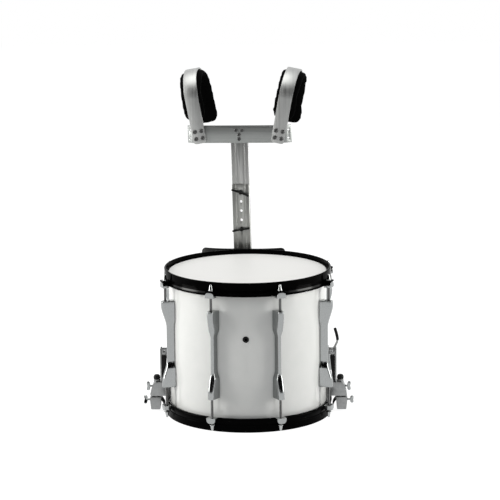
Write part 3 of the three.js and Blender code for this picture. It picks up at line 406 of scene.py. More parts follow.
black_plastic = finish("black_plastic", (0.006, 0.006, 0.006), 0, 0.36, specular=0.15)
grain(black_plastic, scale=900, gloss=(0.32, 0.44), bump=0.12, depth=0.03)
grommet_bore = 3.2
grommet_outline = [(grommet_bore, 171.8), (4.7, 171.8), (4.7, 178.1), (7.1, 178.1)]
grommet_outline += [(7.0, 179.2), (5.9, 179.7), (grommet_bore, 179.7)]
grommet = turned("vent_sleeve", eased(grommet_outline, 0.5), 48)
vent_place = drum_place @ Matrix.Translation((0, 0, vent_height * mm))
place(grommet, vent_place @ Matrix.Rotation(pi / 2, 4, "X"))
smooth(grommet)
dress(grommet, black_plastic, "drum", "black_plastic", "vent_grommet")

# Heads
# Each head is a coated film whose edge is set in an aluminium flesh hoop. It
# lies over the shell's rounded edge in a small collar. Both are drawn as the
# batter head is, down from the top of its rim, and one is turned over.
drum_height = 337.0
playing_face = -9.3
film_under = -9.8
batter_place = drum_place @ Matrix.Translation((0, 0, drum_height * mm))
snare_place = drum_place @ Matrix.Rotation(pi, 4, "X")


def copied(piece, name, matrix):
    """Copies a piece with a mesh of its own and moves the copy into its place."""
    pick(piece)
    bpy.ops.object.duplicate(linked=False)
    twin = bpy.context.object
    twin.name = name
    twin.data.name = name
    return place(twin, matrix)


head_film = finish("head_film", (0.91, 0.9, 0.885), 0, 0.5, specular=0.35)
grain(head_film, scale=700, tones=((0.9, 0.89, 0.875), (0.92, 0.91, 0.9)), bump=0.1, depth=0.03)
cast_metal = finish("bright_casting", (0.31, 0.32, 0.32), 1, 0.13)
grain(
    cast_metal,
    scale=420,
    tones=((0.29, 0.3, 0.3), (0.33, 0.34, 0.34)),
    gloss=(0.1, 0.16),
    bump=0.03,
    depth=0.03,
)
film_outline = [(0, film_under), (120, film_under), (176.4, film_under), (177.6, -10.4), (178.1, -11.8)]
film_outline += [(178.1, -22.6), (179.1, -22.6), (179.1, -13.9), (178.7, -11.6), (178.0, -10.0)]
film_outline += [(176.8, -9.4), (174.0, playing_face), (120, playing_face), (0, playing_face)]
film = turned("batter_film", film_outline, round_steps, closed=False)
flesh_outline = eased([(179.3, -23), (183.2, -23), (183.2, -13.9), (179.3, -13.9)], 0.8)
flesh = turned("batter_flesh_hoop", flesh_outline, round_steps)
snare_film = copied(film, "snare_film", snare_place)
snare_flesh = copied(flesh, "snare_flesh_hoop", snare_place)
place(film, batter_place)
place(flesh, batter_place)
for node, skin, hoop in (("snare_head", snare_film, snare_flesh), ("batter_head", film, flesh)):
    smooth(skin, 50)
    smooth(hoop)
    dress(skin, head_film, "drum", "head_film", node)
    dress(hoop, cast_metal, "drum", "cast_metal")

# Counterhoops
# Black lacquered rims with a fine ridge, and below it a foot that flares out to
# a rounded bead. Eight ears on each stand under the washers of the rods, and
# the lower rim has two gates for the straps of the snares.
lug_count = 8
lug_angles = [(index + 0.5) * 2 * pi / lug_count - pi / 2 for index in range(lug_count)]
rod_circle = 197.0
rod_hole = 3.7
ear_half_width = 12
ear_foot, ear_top = -20.6, -17.6
gate_width = 34
gate_height = 8.6


def bevel(piece, width, segments=2, angle=30):
    """Eases the edges of a piece that are sharper than an angle."""
    modifier = piece.modifiers.new("eased_edges", "BEVEL")
    modifier.width = width * mm
    modifier.segments = segments
    modifier.limit_method = "ANGLE"
    modifier.angle_limit = radians(angle)
    modifier.harden_normals = False
    apply_modifiers(piece)


def join(*pieces):
    """Makes some pieces one object, which keeps the name of the first."""
    pick(*pieces)
    bpy.ops.object.join()
    return bpy.context.object


def arc(centre, radius, start, end, steps=6):
    """Points of a rounded part of an outline, by its angles in degrees."""
    angles = [radians(start + (end - start) * step / steps) for step in range(steps + 1)]
    return [(centre[0] + radius * cos(angle), centre[1] + radius * sin(angle)) for angle in angles]


def extruded(name, outline, along):
    """Fills a closed outline and extrudes it along a line, in millimetres."""
    piece = draw_line(name, outline, closed=True)
    bpy.ops.mesh.edge_face_add()
    reach = {"value": [part * mm for part in along]}
    bpy.ops.mesh.extrude_region_move(TRANSFORM_OT_translate=reach)
    bpy.ops.mesh.select_all(action="SELECT")
    bpy.ops.mesh.normals_make_consistent(inside=False)
    object_mode()
    return piece


def slab(name, outline, bottom, top):
    """Extrudes an outline drawn in X and Y from one height to another."""
    return extruded(name, [(x, y, bottom) for x, y in outline], (0, 0, top - bottom))


def bored(piece, radius, centre, bottom=-500, top=500, vertices=24):
    """Bores an upright hole, right through the piece or between two heights."""
    bpy.ops.mesh.primitive_cylinder_add(
        vertices=vertices,
        radius=radius * mm,
        depth=(top - bottom) * mm,
        location=(centre[0] * mm, centre[1] * mm, (bottom + top) / 2 * mm),
    )
    cut(piece, bpy.context.object)


black_rim = finish("black_rim", (0.001, 0.001, 0.001), 0, 0.1, specular=0.01)
grain(black_rim, scale=60, gloss=(0.07, 0.13), bump=0.03, depth=0.05)
# A copy of the same black lacquer with far more gloss, given only to the bead of the batter rim: a
# painted highlight, so the side lamps leave bright streaks there.
bead_highlight_lacquer = finish("bead_highlight_lacquer", (0.001, 0.001, 0.001), 0, 0.16, specular=0.2)
grain(bead_highlight_lacquer, scale=60, gloss=(0.13, 0.2), bump=0.02, depth=0.05)
rim_outline = arc((185.4, -1.8), 1.8, 180, 90) + arc((186.2, -1.8), 1.8, 90, 0)
rim_outline += [(188.0, -14.8)] + arc((187.6, -16.2), 0.7, 30, -30, 3) + [(187.1, -17.6)]
rim_outline += [(187.3, -19.0), (188.0, -20.6), (188.5, -22.2), (189.7, -26.0), (189.9, -27.2)]
rim_outline += arc((187.2, -28.6), 2.8, 30, -90) + [(183.9, -31.4), (183.6, -31.1)]
rim_outline += [(183.6, -13.6), (180.6, -13.4), (180.6, -11.4), (181.0, -11.2), (183.6, -11.2)]
rim = turned("batter_rim", rim_outline, round_steps)
ear_outline = [(186.4, -ear_half_width), (206, -ear_half_width)]
ear_outline += [(206, ear_half_width), (186.4, ear_half_width)]
ear = slab("rim_ear", eased(ear_outline, 4.5, 4), ear_foot, ear_top)
bored(ear, rod_hole, (rod_circle, 0))
bevel(ear, 0.6)
ears = [copied(ear, "rim_ear_copy", Matrix.Rotation(angle, 4, "Z")) for angle in lug_angles]
bpy.data.objects.remove(ear)
rim = join(rim, *ears)
snare_rim = copied(rim, "snare_rim", snare_place)
place(rim, batter_place)
bpy.ops.mesh.primitive_cube_add(
    size=1,
    location=(axis[0], axis[1], (gate_height - 4) / 2 * mm),
    scale=(0.4, gate_width * mm, (gate_height + 4) * mm),
)
gate = settle(bpy.context.object)
bevel(gate, 1.5, 3)
cut(snare_rim, gate)
for node, piece in (("batter_hoop", rim), ("snare_hoop", snare_rim)):
    smooth(piece, 30)
    dress(piece, black_rim, "drum", "black_hoop", node)
# The bead faces of the batter rim take the glossier copy, which paints the highlight streaks; the snare
# rim keeps the plain lacquer.
rim.data.materials.append(bead_highlight_lacquer)
for face in rim.data.polygons:
    reach = (face.center - axis).xy.length / mm
    depth = drum_height - face.center.z / mm
    if 188.0 < reach < 190.0 and 22.0 < depth < 26.2:
        face.material_index = 1

# Claws
# Sixteen cast claws hook over the beads of the rims, under their ears. From
# in front each is a small arch, and the tension rod runs through it.
claw_inner, claw_outer = 190.3, 205.2


def at_lug(end, angle):
    """Places what is drawn at the batter end; at the snare end it is turned over."""
    if end == "batter":
        return batter_place @ Matrix.Rotation(angle, 4, "Z")
    return snare_place @ Matrix.Rotation(-angle, 4, "Z")


def standing_slab(name, outline, start, end):
    """Extrudes an outline drawn in Y and Z from one X to another."""
    return extruded(name, [(start, y, z) for y, z in outline], (end - start, 0, 0))


half_claw = [(3.4, -21.0), (6.4, -21.8), (8.8, -23.8), (10.3, -27.0), (10.9, -33.4)]
claw_front = half_claw + [(-y, z) for y, z in reversed(half_claw)]
claw = standing_slab("claw", eased(claw_front, 1.2, 2), claw_inner, claw_outer)
bored(claw, rod_hole, (rod_circle, 0))
bevel(claw, 1.7, 4)
smooth(claw, 40)
for end in ("batter", "snare"):
    for index, angle in enumerate(lug_angles):
        copy = copied(claw, f"{end}_claw_{index + 1}", at_lug(end, angle))
        dress(copy, cast_metal, "drum", "cast_metal")
bpy.data.objects.remove(claw)

# Lugs
# Bright castings that take up most of the shell's height. A slim column widens
# and deepens at both ends to take the rods, and its sides taper outwards.
casting_back = 178.1
lug_bottom = 75.0
lug_length = 198.0
lug_cap = 9
deepening_length = 53
deepening_steps = 20
widening_start, widening_length = 42, 19
column_depth, end_depth, section_depth = 15.2, 26.0, 28.6
column_width, end_width, section_width = 12, 22, 22
lug_bore_depth = 24


def eased_step(value, start, length):
    """0 up to a start and 1 past a length, with an even curve between them."""
    share = max(0.0, min(1.0, (value - start) / length))
    return share * share * (3 - 2 * share)


def lug_scale(height):
    """The depth and width of a lug at a height, as shares of its section."""
    from_end = min(height, lug_length - height)
    column = eased_step(from_end, lug_cap, deepening_length)
    waist = eased_step(from_end, widening_start, widening_length)
    depth = end_depth - (end_depth - column_depth) * column
    width = end_width - (end_width - column_width) * waist
    return depth / section_depth, width / section_width


def lofted(name, section, heights, scale_at, anchor):
    """Extrudes a flat section upwards and rescales it at each height."""
    piece = draw_line(name, [(x, y, heights[0]) for x, y in section], closed=True)
    bpy.ops.mesh.edge_face_add()
    last = scale_at(heights[0])
    for here, there in zip(heights, heights[1:]):
        rise = {"value": (0, 0, (there - here) * mm)}
        bpy.ops.mesh.extrude_region_move(TRANSFORM_OT_translate=rise)
        now = scale_at(there)
        bpy.ops.transform.resize(
            value=(now[0] / last[0], now[1] / last[1], 1),
            center_override=(anchor[0] * mm, anchor[1] * mm, there * mm),
        )
        last = now
    bpy.ops.mesh.select_all(action="SELECT")
    bpy.ops.mesh.normals_make_consistent(inside=False)
    object_mode()
    return piece


lug_section = [(casting_back, -11), (casting_back + 10, -9.2)]
lug_section += arc((casting_back + 23.2, -1.6), 5.4, -78, 0)
lug_section += arc((casting_back + 23.2, 1.6), 5.4, 0, 78)
lug_section += [(casting_back + 10, 9.2), (casting_back, 11)]
lug_heights = [0, lug_cap]
for step in range(1, deepening_steps + 1):
    lug_heights.append(lug_cap + deepening_length * step / deepening_steps)
lug_heights += [lug_length - height for height in reversed(lug_heights)]
lug = lofted("lug", lug_section, lug_heights, lug_scale, (casting_back, 0))
for bottom, top in ((-1, lug_bore_depth), (lug_length - lug_bore_depth, lug_length + 1)):
    bored(lug, rod_hole, (rod_circle, 0), bottom, top, 32)
bevel(lug, 1.2, 3, 40)
smooth(lug, 38)
lug_place = drum_place @ Matrix.Translation((0, 0, lug_bottom * mm))
for index, angle in enumerate(lug_angles):
    copy = copied(lug, f"cast_lug_{index + 1}", lug_place @ Matrix.Rotation(angle, 4, "Z"))
    dress(copy, cast_metal, "drum", "cast_metal", f"lug_{index + 1}")
bpy.data.objects.remove(lug)

# Tension rods
# Dark threaded steel rods with a tall, tapered and polished head on a washer.
# They pull both rims towards the lugs, eight from above and eight from below.


def ridges(material, scale, strength, direction):
    """Runs fine ridges across a rod or a cord, as a thread or a wound wire has."""
    tree = material.node_tree
    wave = tree.nodes.new("ShaderNodeTexWave")
    wave.bands_direction = direction
    wave.inputs["Scale"].default_value = scale
    place_of = tree.nodes.new("ShaderNodeTexCoord")
    bumps = tree.nodes.new("ShaderNodeBump")
    bumps.inputs["Strength"].default_value = strength
    bumps.inputs["Distance"].default_value = 0.2 * mm
    tree.links.new(place_of.outputs["Object"], wave.inputs["Vector"])
    tree.links.new(wave.outputs["Fac"], bumps.inputs["Height"])
    tree.links.new(bumps.outputs["Normal"], tree.nodes["Principled BSDF"].inputs["Normal"])


polished = finish("polished_metal", (0.4, 0.41, 0.41), 1, 0.14)
grain(polished, scale=500, gloss=(0.1, 0.19), bump=0.03, depth=0.03)
# Dark steel for the stems of the rods. The screws of the crossbar and bands take it too, and there their
# dark tone is painted shade for their sockets and the shaded sides of their heads.
dark_steel_and_shade = finish("dark_steel_and_shade", (0.11, 0.11, 0.11), 1, 0.3)
ridges(dark_steel_and_shade, 300, 0.35, "Z")
rod_outline = [(0, -17.5), (5.5, -17.5)] + arc((5.5, -16.9), 0.6, -70, 70, 4)
rod_outline += [(4.6, -16.2), (4.5, -15.0), (4.2, -13.8), (3.9, -12.4)]
rod_outline += [(2.5, -5.6), (2.0, -4.4), (1.2, -3.9), (0, -3.9)]
tension_rod = turned("tension_rod", rod_outline, 32, closed=False)
smooth(tension_rod, 40)
stem_outline = [(0, -86), (2.2, -86), (2.9, -85), (2.9, -17.2), (0, -17.2)]
rod_stem = turned("rod_stem", stem_outline, 32, closed=False)
smooth(rod_stem, 40)
for end in ("batter", "snare"):
    for index, angle in enumerate(lug_angles):
        matrix = at_lug(end, angle) @ Matrix.Translation((rod_circle * mm, 0, 0))
        node = f"{end}_rod_{index + 1}"
        copy = copied(tension_rod, f"{end}_key_rod_{index + 1}", matrix)
        dress(copy, polished, node, "bright_metal", node)
        stem = copied(rod_stem, f"{end}_rod_stem_{index + 1}", matrix)
        dress(stem, dark_steel_and_shade, node, "bright_metal", node)
bpy.data.objects.remove(tension_rod)
bpy.data.objects.remove(rod_stem)

# Snares
# Fourteen straight cords of wound wire under the lower head, set in a flat bar
# at each end. They hang on the two straps and move with the carriages.
strand_count = 14
strand_pitch = 4
strand_radius = 0.8
strand_length = 298
strand_level = 8.2
bar_half_length = 29
bar_bottom, bar_top = 6.4, 9.0
snare_wire = finish("snare_wire", (0.5, 0.5, 0.48), 1, 0.3)
ridges(snare_wire, 260, 0.6, "X")
strands = []
for index in range(strand_count):
    across = (index - (strand_count - 1) / 2) * strand_pitch
    bpy.ops.mesh.primitive_cylinder_add(
        vertices=12,
        radius=strand_radius * mm,
        depth=strand_length * mm,
        location=(0, across * mm, strand_level * mm),
        rotation=(0, pi / 2, 0),
    )
    strand = settle(bpy.context.object)
    bpy.ops.object.mode_set(mode="EDIT")
    bpy.ops.mesh.select_all(action="SELECT")
    bpy.ops.mesh.bevel(offset=0.2 * mm, segments=1)
    object_mode()
    strands.append(strand)
bar_outline = [(144, -bar_half_length), (156, -bar_half_length)]
bar_outline += [(156, bar_half_length), (144, bar_half_length)]
for turn in (pi, 0):
    bar = slab("snare_bar", eased(bar_outline, 3, 4), bar_bottom, bar_top)
    bevel(bar, 0.4)
    place(bar, Matrix.Rotation(turn, 4, "Z"))
    strands.append(bar)
snare_set = join(*strands)
snare_set.name = snare_set.data.name = "snare_cords"
place(snare_set, drum_place)
smooth(snare_set, 40)
dress(snare_set, snare_wire, "snare_carriage", "snare_steel", "snares")

# Snare straps
# A flat black strap leads from each bar of the snares through a gate of the
# lower rim and turns up to the clamp of its carriage.
strap_half_width = 13
strap_thickness = 2.6


def face_outwards(piece):
    """Merges the doubles of a piece and turns all its faces outwards."""
    pick(piece)
    bpy.ops.object.mode_set(mode="EDIT")
    bpy.ops.mesh.select_all(action="SELECT")
    bpy.ops.mesh.remove_doubles(threshold=1e-6)
    bpy.ops.mesh.normals_make_consistent(inside=False)
    object_mode()


def thicken(piece, thickness, side=0):
    """Gives a sheet its thickness, half on each side, or all behind at -1."""
    modifier = piece.modifiers.new("thickness", "SOLIDIFY")
    modifier.thickness = thickness * mm
    modifier.offset = side
    modifier.use_even_offset = True
    apply_modifiers(piece)


def sheet(name, line, along):
    """Extrudes an open line along a direction, in millimetres, to a sheet."""
    piece = draw_line(name, line)
    reach = {"value": [part * mm for part in along]}
    bpy.ops.mesh.extrude_region_move(TRANSFORM_OT_translate=reach)
    object_mode()
    return piece


def ribbon(name, line, half_width, thickness):
    """Extrudes a line drawn in X and Z across Y, then gives it a thickness."""
    piece = sheet(name, [(x, -half_width, z) for x, z in line], (0, 2 * half_width, 0))
    thicken(piece, thickness)
    face_outwards(piece)
    return piece


strap_web = finish("strap_web", (0.02, 0.02, 0.02), 0, 0.7)
grain(
    strap_web,
    scale=1500,
    stretch=(1, 0.35, 1),
    tones=((0.012, 0.012, 0.012), (0.035, 0.035, 0.035)),
    bump=0.4,
    depth=0.1,
)
strap_bends = [(146, 6.0), (158, 6.2), (192.6, 5.8), (193.0, 20), (199.6, 29)]
strap_line = eased(strap_bends, 5, 5, closed=False)
for side, turn in (("right", 0), ("left", pi)):
    strap = ribbon(side + "_snare_strap", strap_line, strap_half_width, strap_thickness)
    bevel(strap, 0.3)
    place(strap, drum_place @ Matrix.Rotation(turn, 4, "Z"))
    smooth(strap, 40)
    dress(strap, strap_web, "snare_carriage", "black_plastic")

# Strainers
# One zinc casting on each side of the shell. Its back plate is screwed to the
# shell, a block below guides the carriage, and a guard with a slot for the
# lever stands outside. Two ears between them carry the lever's pin.
side_places = (("right", drum_place), ("left", drum_place @ Matrix.Rotation(pi, 4, "Z")))
guide_pin_out, guide_pin_aside = 209, 9
knob_out = 209.2
lock_level = 57
lever_out, lever_level = 191.2, 140
block_half_width = 16
ear_thickness = 4
zinc = finish("zinc_casting", (0.24, 0.245, 0.245), 1, 0.32)
grain(
    zinc,
    scale=180,
    tones=((0.235, 0.24, 0.24), (0.3, 0.305, 0.305)),
    gloss=(0.28, 0.36),
    bump=0.05,
    depth=0.05,
)


def extruded_across(name, outline, half_width):
    """Extrudes an outline drawn in X and Z by a half width to both sides."""
    return extruded(name, [(x, -half_width, z) for x, z in outline], (0, 2 * half_width, 0))


def bore_along(piece, radius, start, end):
    """Bores a round hole between two points of a piece, in millimetres."""
    start, end = Vector(start) * mm, Vector(end) * mm
    along = end - start
    bpy.ops.mesh.primitive_cylinder_add(
        vertices=32, radius=radius * mm, depth=along.length, location=(start + end) / 2
    )
    drill = bpy.context.object
    drill.rotation_euler = along.to_track_quat("Z", "Y").to_euler()
    cut(piece, drill)


def rounded_plate(half_width, bottom, top, corner):
    """The outline of an upright plate with round corners."""
    low_edge = [(-half_width, bottom), (half_width, bottom)]
    return eased(low_edge + [(half_width, top), (-half_width, top)], corner, 5)


def dome(radius, centre, scale):
    """The low round head of a screw, flattened by a scale."""
    bpy.ops.mesh.primitive_uv_sphere_add(
        segments=24, ring_count=12, radius=radius * mm, location=[part * mm for part in centre]
    )
    head = bpy.context.object
    head.scale = scale
    return settle(head)


block_outline = [(casting_back, 37.2), (222.8, 37.2), (224.2, 40.6), (222, 51)]
block_outline += [(217.5, 64.5), (213, 69), (casting_back, 69)]
ear_outline = [(casting_back, 132.5), (197.4, 132.5), (197.4, 145), (casting_back, 145)]
for side, matrix in side_places:
    back_plate = standing_slab("back_plate", rounded_plate(16, 33, 150, 8), casting_back, 183.1)
    bevel(back_plate, 1.4, 3)
    block = extruded_across("block", eased(block_outline, 3, 4), block_half_width)
    for y in (-guide_pin_aside, guide_pin_aside):
        bore_along(block, 3.0, (guide_pin_out, y, 20), (guide_pin_out, y, 58))
    bore_along(block, 2.9, (knob_out, 0, 20), (knob_out, 0, 80))
    bore_along(block, 2.9, (214, 0, lock_level), (230, 0, lock_level))
    bevel(block, 1.3, 3)
    guard = standing_slab("guard", rounded_plate(12, 66, 147, 3.6), 197, 200.5)
    cut(guard, standing_slab("slot", rounded_plate(5.3, 122, 158, 4), 190, 206))
    bevel(guard, 0.9, 3)
    ears = []
    for middle in (-6.3, 6.3):
        flat = extruded_across("ear", eased(ear_outline, 2, 3), ear_thickness / 2)
        place(flat, Matrix.Translation((0, middle * mm, 0)))
        bore_along(flat, 2.4, (lever_out, -20, lever_level), (lever_out, 20, lever_level))
        bevel(flat, 0.5)
        ears.append(flat)
    heads = [dome(3.4, (183.0, 0, z), (0.45, 1, 1)) for z in (112, 90)]
    collar_outline = [(3.2, 68.4), (7.4, 68.4), (7.4, 72.4), (6.8, 73.2), (3.2, 73.2)]
    collar = turned("collar", collar_outline, 48)
    place(collar, Matrix.Translation((knob_out * mm, 0, 0)))
    strainer = join(block, back_plate, guard, collar, *ears, *heads)
    strainer.name = strainer.data.name = side + "_strainer_casting"
    place(strainer, matrix)
    smooth(strainer, 35)
    dress(strainer, zinc, "drum", "cast_metal", side + "_strainer")

# Strainer covers
# A black plastic cover fills the wedge between the back plate and the guard of
# each strainer, below the ears for the lever.
cover_outline = [(191.5, 71), (196.7, 71), (196.7, 130), (188.6, 130), (185.6, 127)]
for side, matrix in side_places:
    cover = extruded_across(side + "_cover", eased(cover_outline, 1.6, 3), 10.5)
    bevel(cover, 0.9, 3)
    place(cover, matrix)
    smooth(cover, 35)
    dress(cover, black_plastic, "drum", "black_plastic", side + "_strainer_cover")

# Carriages
# Each zinc carriage grips the end of a strap. It slides up and down on two
# steel pins in the block of its strainer.
clamp_level = 25
carriage_half_width = 15
carriage_outline = [(201.4, 5), (222.6, 5), (225.4, 31.4), (224.2, 34), (198.8, 34)]
pin_outline = [(0, 29), (2.5, 29), (2.5, 55.4), (2.0, 56), (0, 56)]
for side, matrix in side_places:
    carriage = extruded_across(side + "_slide", eased(carriage_outline, 2.2, 3), carriage_half_width)
    bore_along(carriage, 2.9, (216, 0, clamp_level), (230, 0, clamp_level))
    bevel(carriage, 1.2, 3)
    pins = []
    for y in (-guide_pin_aside, guide_pin_aside):
        pin = turned("pin", pin_outline, 24, closed=False)
        pins.append(place(pin, Matrix.Translation((guide_pin_out * mm, y * mm, 0))))
    carriage = join(carriage, *pins)
    place(carriage, matrix)
    smooth(carriage, 35)
    dress(carriage, zinc, "snare_carriage", "cast_metal", side + "_carriage")

# Height knobs
# A round black knob with twelve flutes stands on the collar of each block. Its
# long screw goes down through the block and sets the height of the snares.
flute_count = 12
flute_radius, flute_circle = 1.1, 8.2
knob_outline = [(0, 73.5), (6.4, 73.5), (7.3, 73.9), (7.7, 74.9)]
knob_outline += [(2.6 + 5.1 * cos(step * pi / 16), 78 + 6.2 * sin(step * pi / 16)) for step in range(9)]
knob_outline += [(0, 84.2)]
for side, matrix in side_places:
    knob = turned(side + "_knob", knob_outline, 64, closed=False)
    flutes = []
    for step in range(flute_count):
        angle = step * 2 * pi / flute_count
        bpy.ops.mesh.primitive_cylinder_add(
            vertices=16,
            radius=flute_radius * mm,
            depth=13 * mm,
            location=(flute_circle * mm * cos(angle), flute_circle * mm * sin(angle), 76 * mm),
        )
        flutes.append(bpy.context.object)
    cut(knob, *flutes)
    screw = turned("screw", [(0, 34.2), (2.4, 34.2), (2.4, 74), (0, 74)], 24, closed=False)
    knob = join(knob, screw)
    place(knob, matrix @ Matrix.Translation((knob_out * mm, 0, 0)))
    smooth(knob, 35)
    dress(knob, black_plastic, side + "_height_knob", "black_plastic", side + "_height_knob")

# Wing screws
# Two bright cast wing screws on each side: one in the block locks the height of
# the snares, the other in the carriage clamps the strap.
wing_thickness = 5.6
for side, matrix in side_places:
    for kind, stem, neck, out, level, tilt in (
        ("lock", 7.5, 2.5, 222, lock_level, 0),
        ("clamp", 8, 6, 225, clamp_level, 35),
    ):
        hub_outline = [(0, -stem), (2.0, -stem), (2.4, 0.6 - stem), (2.4, neck), (3.6, neck)]
        hub_outline += [(3.6, neck + 1.6), (2.8, neck + 2.4), (0, neck + 2.4)]
        hub = turned("hub", hub_outline, 32, closed=False)
        place(hub, Matrix.Rotation(pi / 2, 4, "Y"))
        half_wing = [(neck + 7.2, 1.4), (neck + 8.4, 4.6), (neck + 8.2, 9.0), (neck + 5.6, 10.4)]
        half_wing += [(neck + 2.4, 9.8), (neck + 0.9, 7.0), (neck + 0.5, 2.6)]
        wing_outline = [(x, -z) for x, z in reversed(half_wing)] + half_wing
        wings = extruded_across("wings", eased(wing_outline, 1.2, 3), wing_thickness / 2)
        bevel(wings, 0.8, 2)
        wing_screw = join(hub, wings)
        wing_screw.name = wing_screw.data.name = f"{side}_{kind}_wing"
        seat = Matrix.Translation((out * mm, 0, level * mm)) @ Matrix.Rotation(radians(tilt), 4, "X")
        place(wing_screw, matrix @ seat)
        smooth(wing_screw, 40)
        node = f"{side}_{kind}_screw"
        dress(wing_screw, cast_metal, node, "bright_metal", node)

# Throw-off lever
# A bowed arm on a pin through the ears of the right-hand strainer. A black
# sleeve covers its tip. Thrown outwards, it lets the snares drop.
bow = [(0, 0), (7.1, 12), (11.5, 24), (9.5, 38), (5.5, 52)]
bow_steps = 5
arm_end = 15
sleeve_start = 10
lever_line = []
for index in range(len(bow) - 1):
    before = Vector(bow[max(index - 1, 0)])
    start, end = Vector(bow[index]), Vector(bow[index + 1])
    after = Vector(bow[min(index + 2, len(bow) - 1)])
    for step in range(bow_steps):
        t = step / bow_steps
        point = 2 * start + (end - before) * t
        point += (2 * before - 5 * start + 4 * end - after) * t**2
        point += (3 * start - before - 3 * end + after) * t**3
        lever_line.append((point.x / 2, point.y / 2))
lever_line.append(bow[-1])
lever_place = drum_place @ Matrix.Translation((lever_out * mm, 0, lever_level * mm))
arm = ribbon("lever_arm", lever_line[:arm_end], 4, 4.4)
bevel(arm, 0.9, 3)
hub = turned("lever_hub", eased([(2.4, -4), (5, -4), (5, 4), (2.4, 4)], 0.8), 40)
place(hub, Matrix.Rotation(pi / 2, 4, "X"))
arm = join(arm, hub)
arm.name = arm.data.name = "throw_off_arm"
place(arm, lever_place)
smooth(arm, 40)
dress(arm, zinc, "throw_off_lever", "bright_metal", "throw_off_lever")
sleeve = ribbon("lever_sleeve", lever_line[sleeve_start:], 4.6, 6.6)
bevel(sleeve, 2.0, 4)
place(sleeve, lever_place)
smooth(sleeve, 40)
dress(sleeve, black_plastic, "throw_off_lever", "black_plastic")
pin_outline = [(0, -8.3), (1.6, -8.3), (2, -7.9), (2, 7.9), (1.6, 8.3), (0, 8.3)]
pin = turned("lever_pivot", pin_outline, 24, closed=False)
place(pin, lever_place @ Matrix.Rotation(pi / 2, 4, "X"))
smooth(pin, 40)
dress(pin, polished, "drum", "bright_metal", "lever_pin")

# Carrier socket
# A cast tube on a plate, screwed to the back of the shell between two lugs.
# The back of the plate follows the shell.
hook_x, hook_y = -19.0, 205.0
tube_bottom, tube_top = 232, 262
neck_half_width = 8
plate_half_width = 22
plate_corner = 7
tube_outline = [(7.7, tube_bottom), (11.5, tube_bottom), (11.5, tube_top), (7.7, tube_top)]
socket_tube = turned("socket_tube", eased(tube_outline, 1.2), 64)
place(socket_tube, Matrix.Translation((hook_x * mm, hook_y * mm, 0)))
neck_outline = [(hook_x - neck_half_width, 176), (hook_x + neck_half_width, 176)]
neck_outline += [(hook_x + neck_half_width, 198), (hook_x - neck_half_width, 198)]
neck = slab("socket_neck", neck_outline, tube_bottom + 1, tube_top - 1)
flange_outline = [(hook_x - plate_half_width, 170.5), (hook_x + plate_half_width, 170.5)]
flange_outline += [(hook_x + plate_half_width, 180.8), (hook_x - plate_half_width, 180.8)]
flange = slab("socket_plate", flange_outline, 216, 278)
pick(flange)
bpy.ops.object.mode_set(mode="EDIT")
bpy.ops.mesh.select_mode(type="EDGE")
bpy.ops.mesh.select_all(action="DESELECT")
object_mode()
for edge in flange.data.edges:
    a, b = (flange.data.vertices[index].co for index in edge.vertices)
    edge.select = abs(a.x - b.x) < 1e-6 and abs(a.z - b.z) < 1e-6
bpy.ops.object.mode_set(mode="EDIT")
bpy.ops.mesh.bevel(offset=plate_corner * mm, segments=6)
bpy.ops.mesh.select_mode(type="VERT")
object_mode()
socket_screws = []
for x in (hook_x - 15, hook_x + 15):
    for z in (222, 272):
        socket_screws.append(dome(3.2, (x, 180.7, z), (1, 0.5, 1)))
for piece in (flange, neck):
    bpy.ops.mesh.primitive_cylinder_add(
        vertices=round_steps, radius=casting_back * mm, depth=0.4, location=(0, 0, 0.25)
    )
    cut(piece, bpy.context.object)
bevel(flange, 0.8, 2, 50)
socket = join(socket_tube, neck, flange, *socket_screws)
socket.name = socket.data.name = "socket_casting"
place(socket, drum_place)
smooth(socket, 35)
dress(socket, cast_metal, "drum", "cast_metal", "carrier_socket")

# Carrier hook
# A polished spigot drops into the socket; its collar rests on the tube and
# its upper end turns in the knuckle of the belly plate. The whole carrier is
# turned and leans a little, about the middle of the socket.
carrier_turn = radians(-8.4)
carrier_lean = radians(-1.25)
socket_middle = (tube_bottom + tube_top) / 2 * mm
spigot_radius = 6.5
carrier_place = (
    drum_place
    @ Matrix.Translation((hook_x * mm, hook_y * mm, 0))
    @ Matrix.Rotation(carrier_turn, 4, "Z")
    @ Matrix.Translation((0, 0, socket_middle))
    @ Matrix.Rotation(carrier_lean, 4, "Y")
    @ Matrix.Translation((0, 0, -socket_middle))
)
hook_outline = [(0, 224), (3.6, 224), (5.4, 225), (spigot_radius, 227), (spigot_radius, 262.3)]
hook_outline += [(9.7, 262.3), (10.4, 263), (10.4, 265.6), (9.7, 266.3), (spigot_radius, 266.3)]
hook_outline += [(spigot_radius, 299.4), (5.9, 300), (0, 300)]
hook = turned("hook_spigot", hook_outline, 48, closed=False)
place(hook, carrier_place)
smooth(hook, 40)
dress(hook, polished, "carrier_hook", "bright_metal", "carrier_hook")

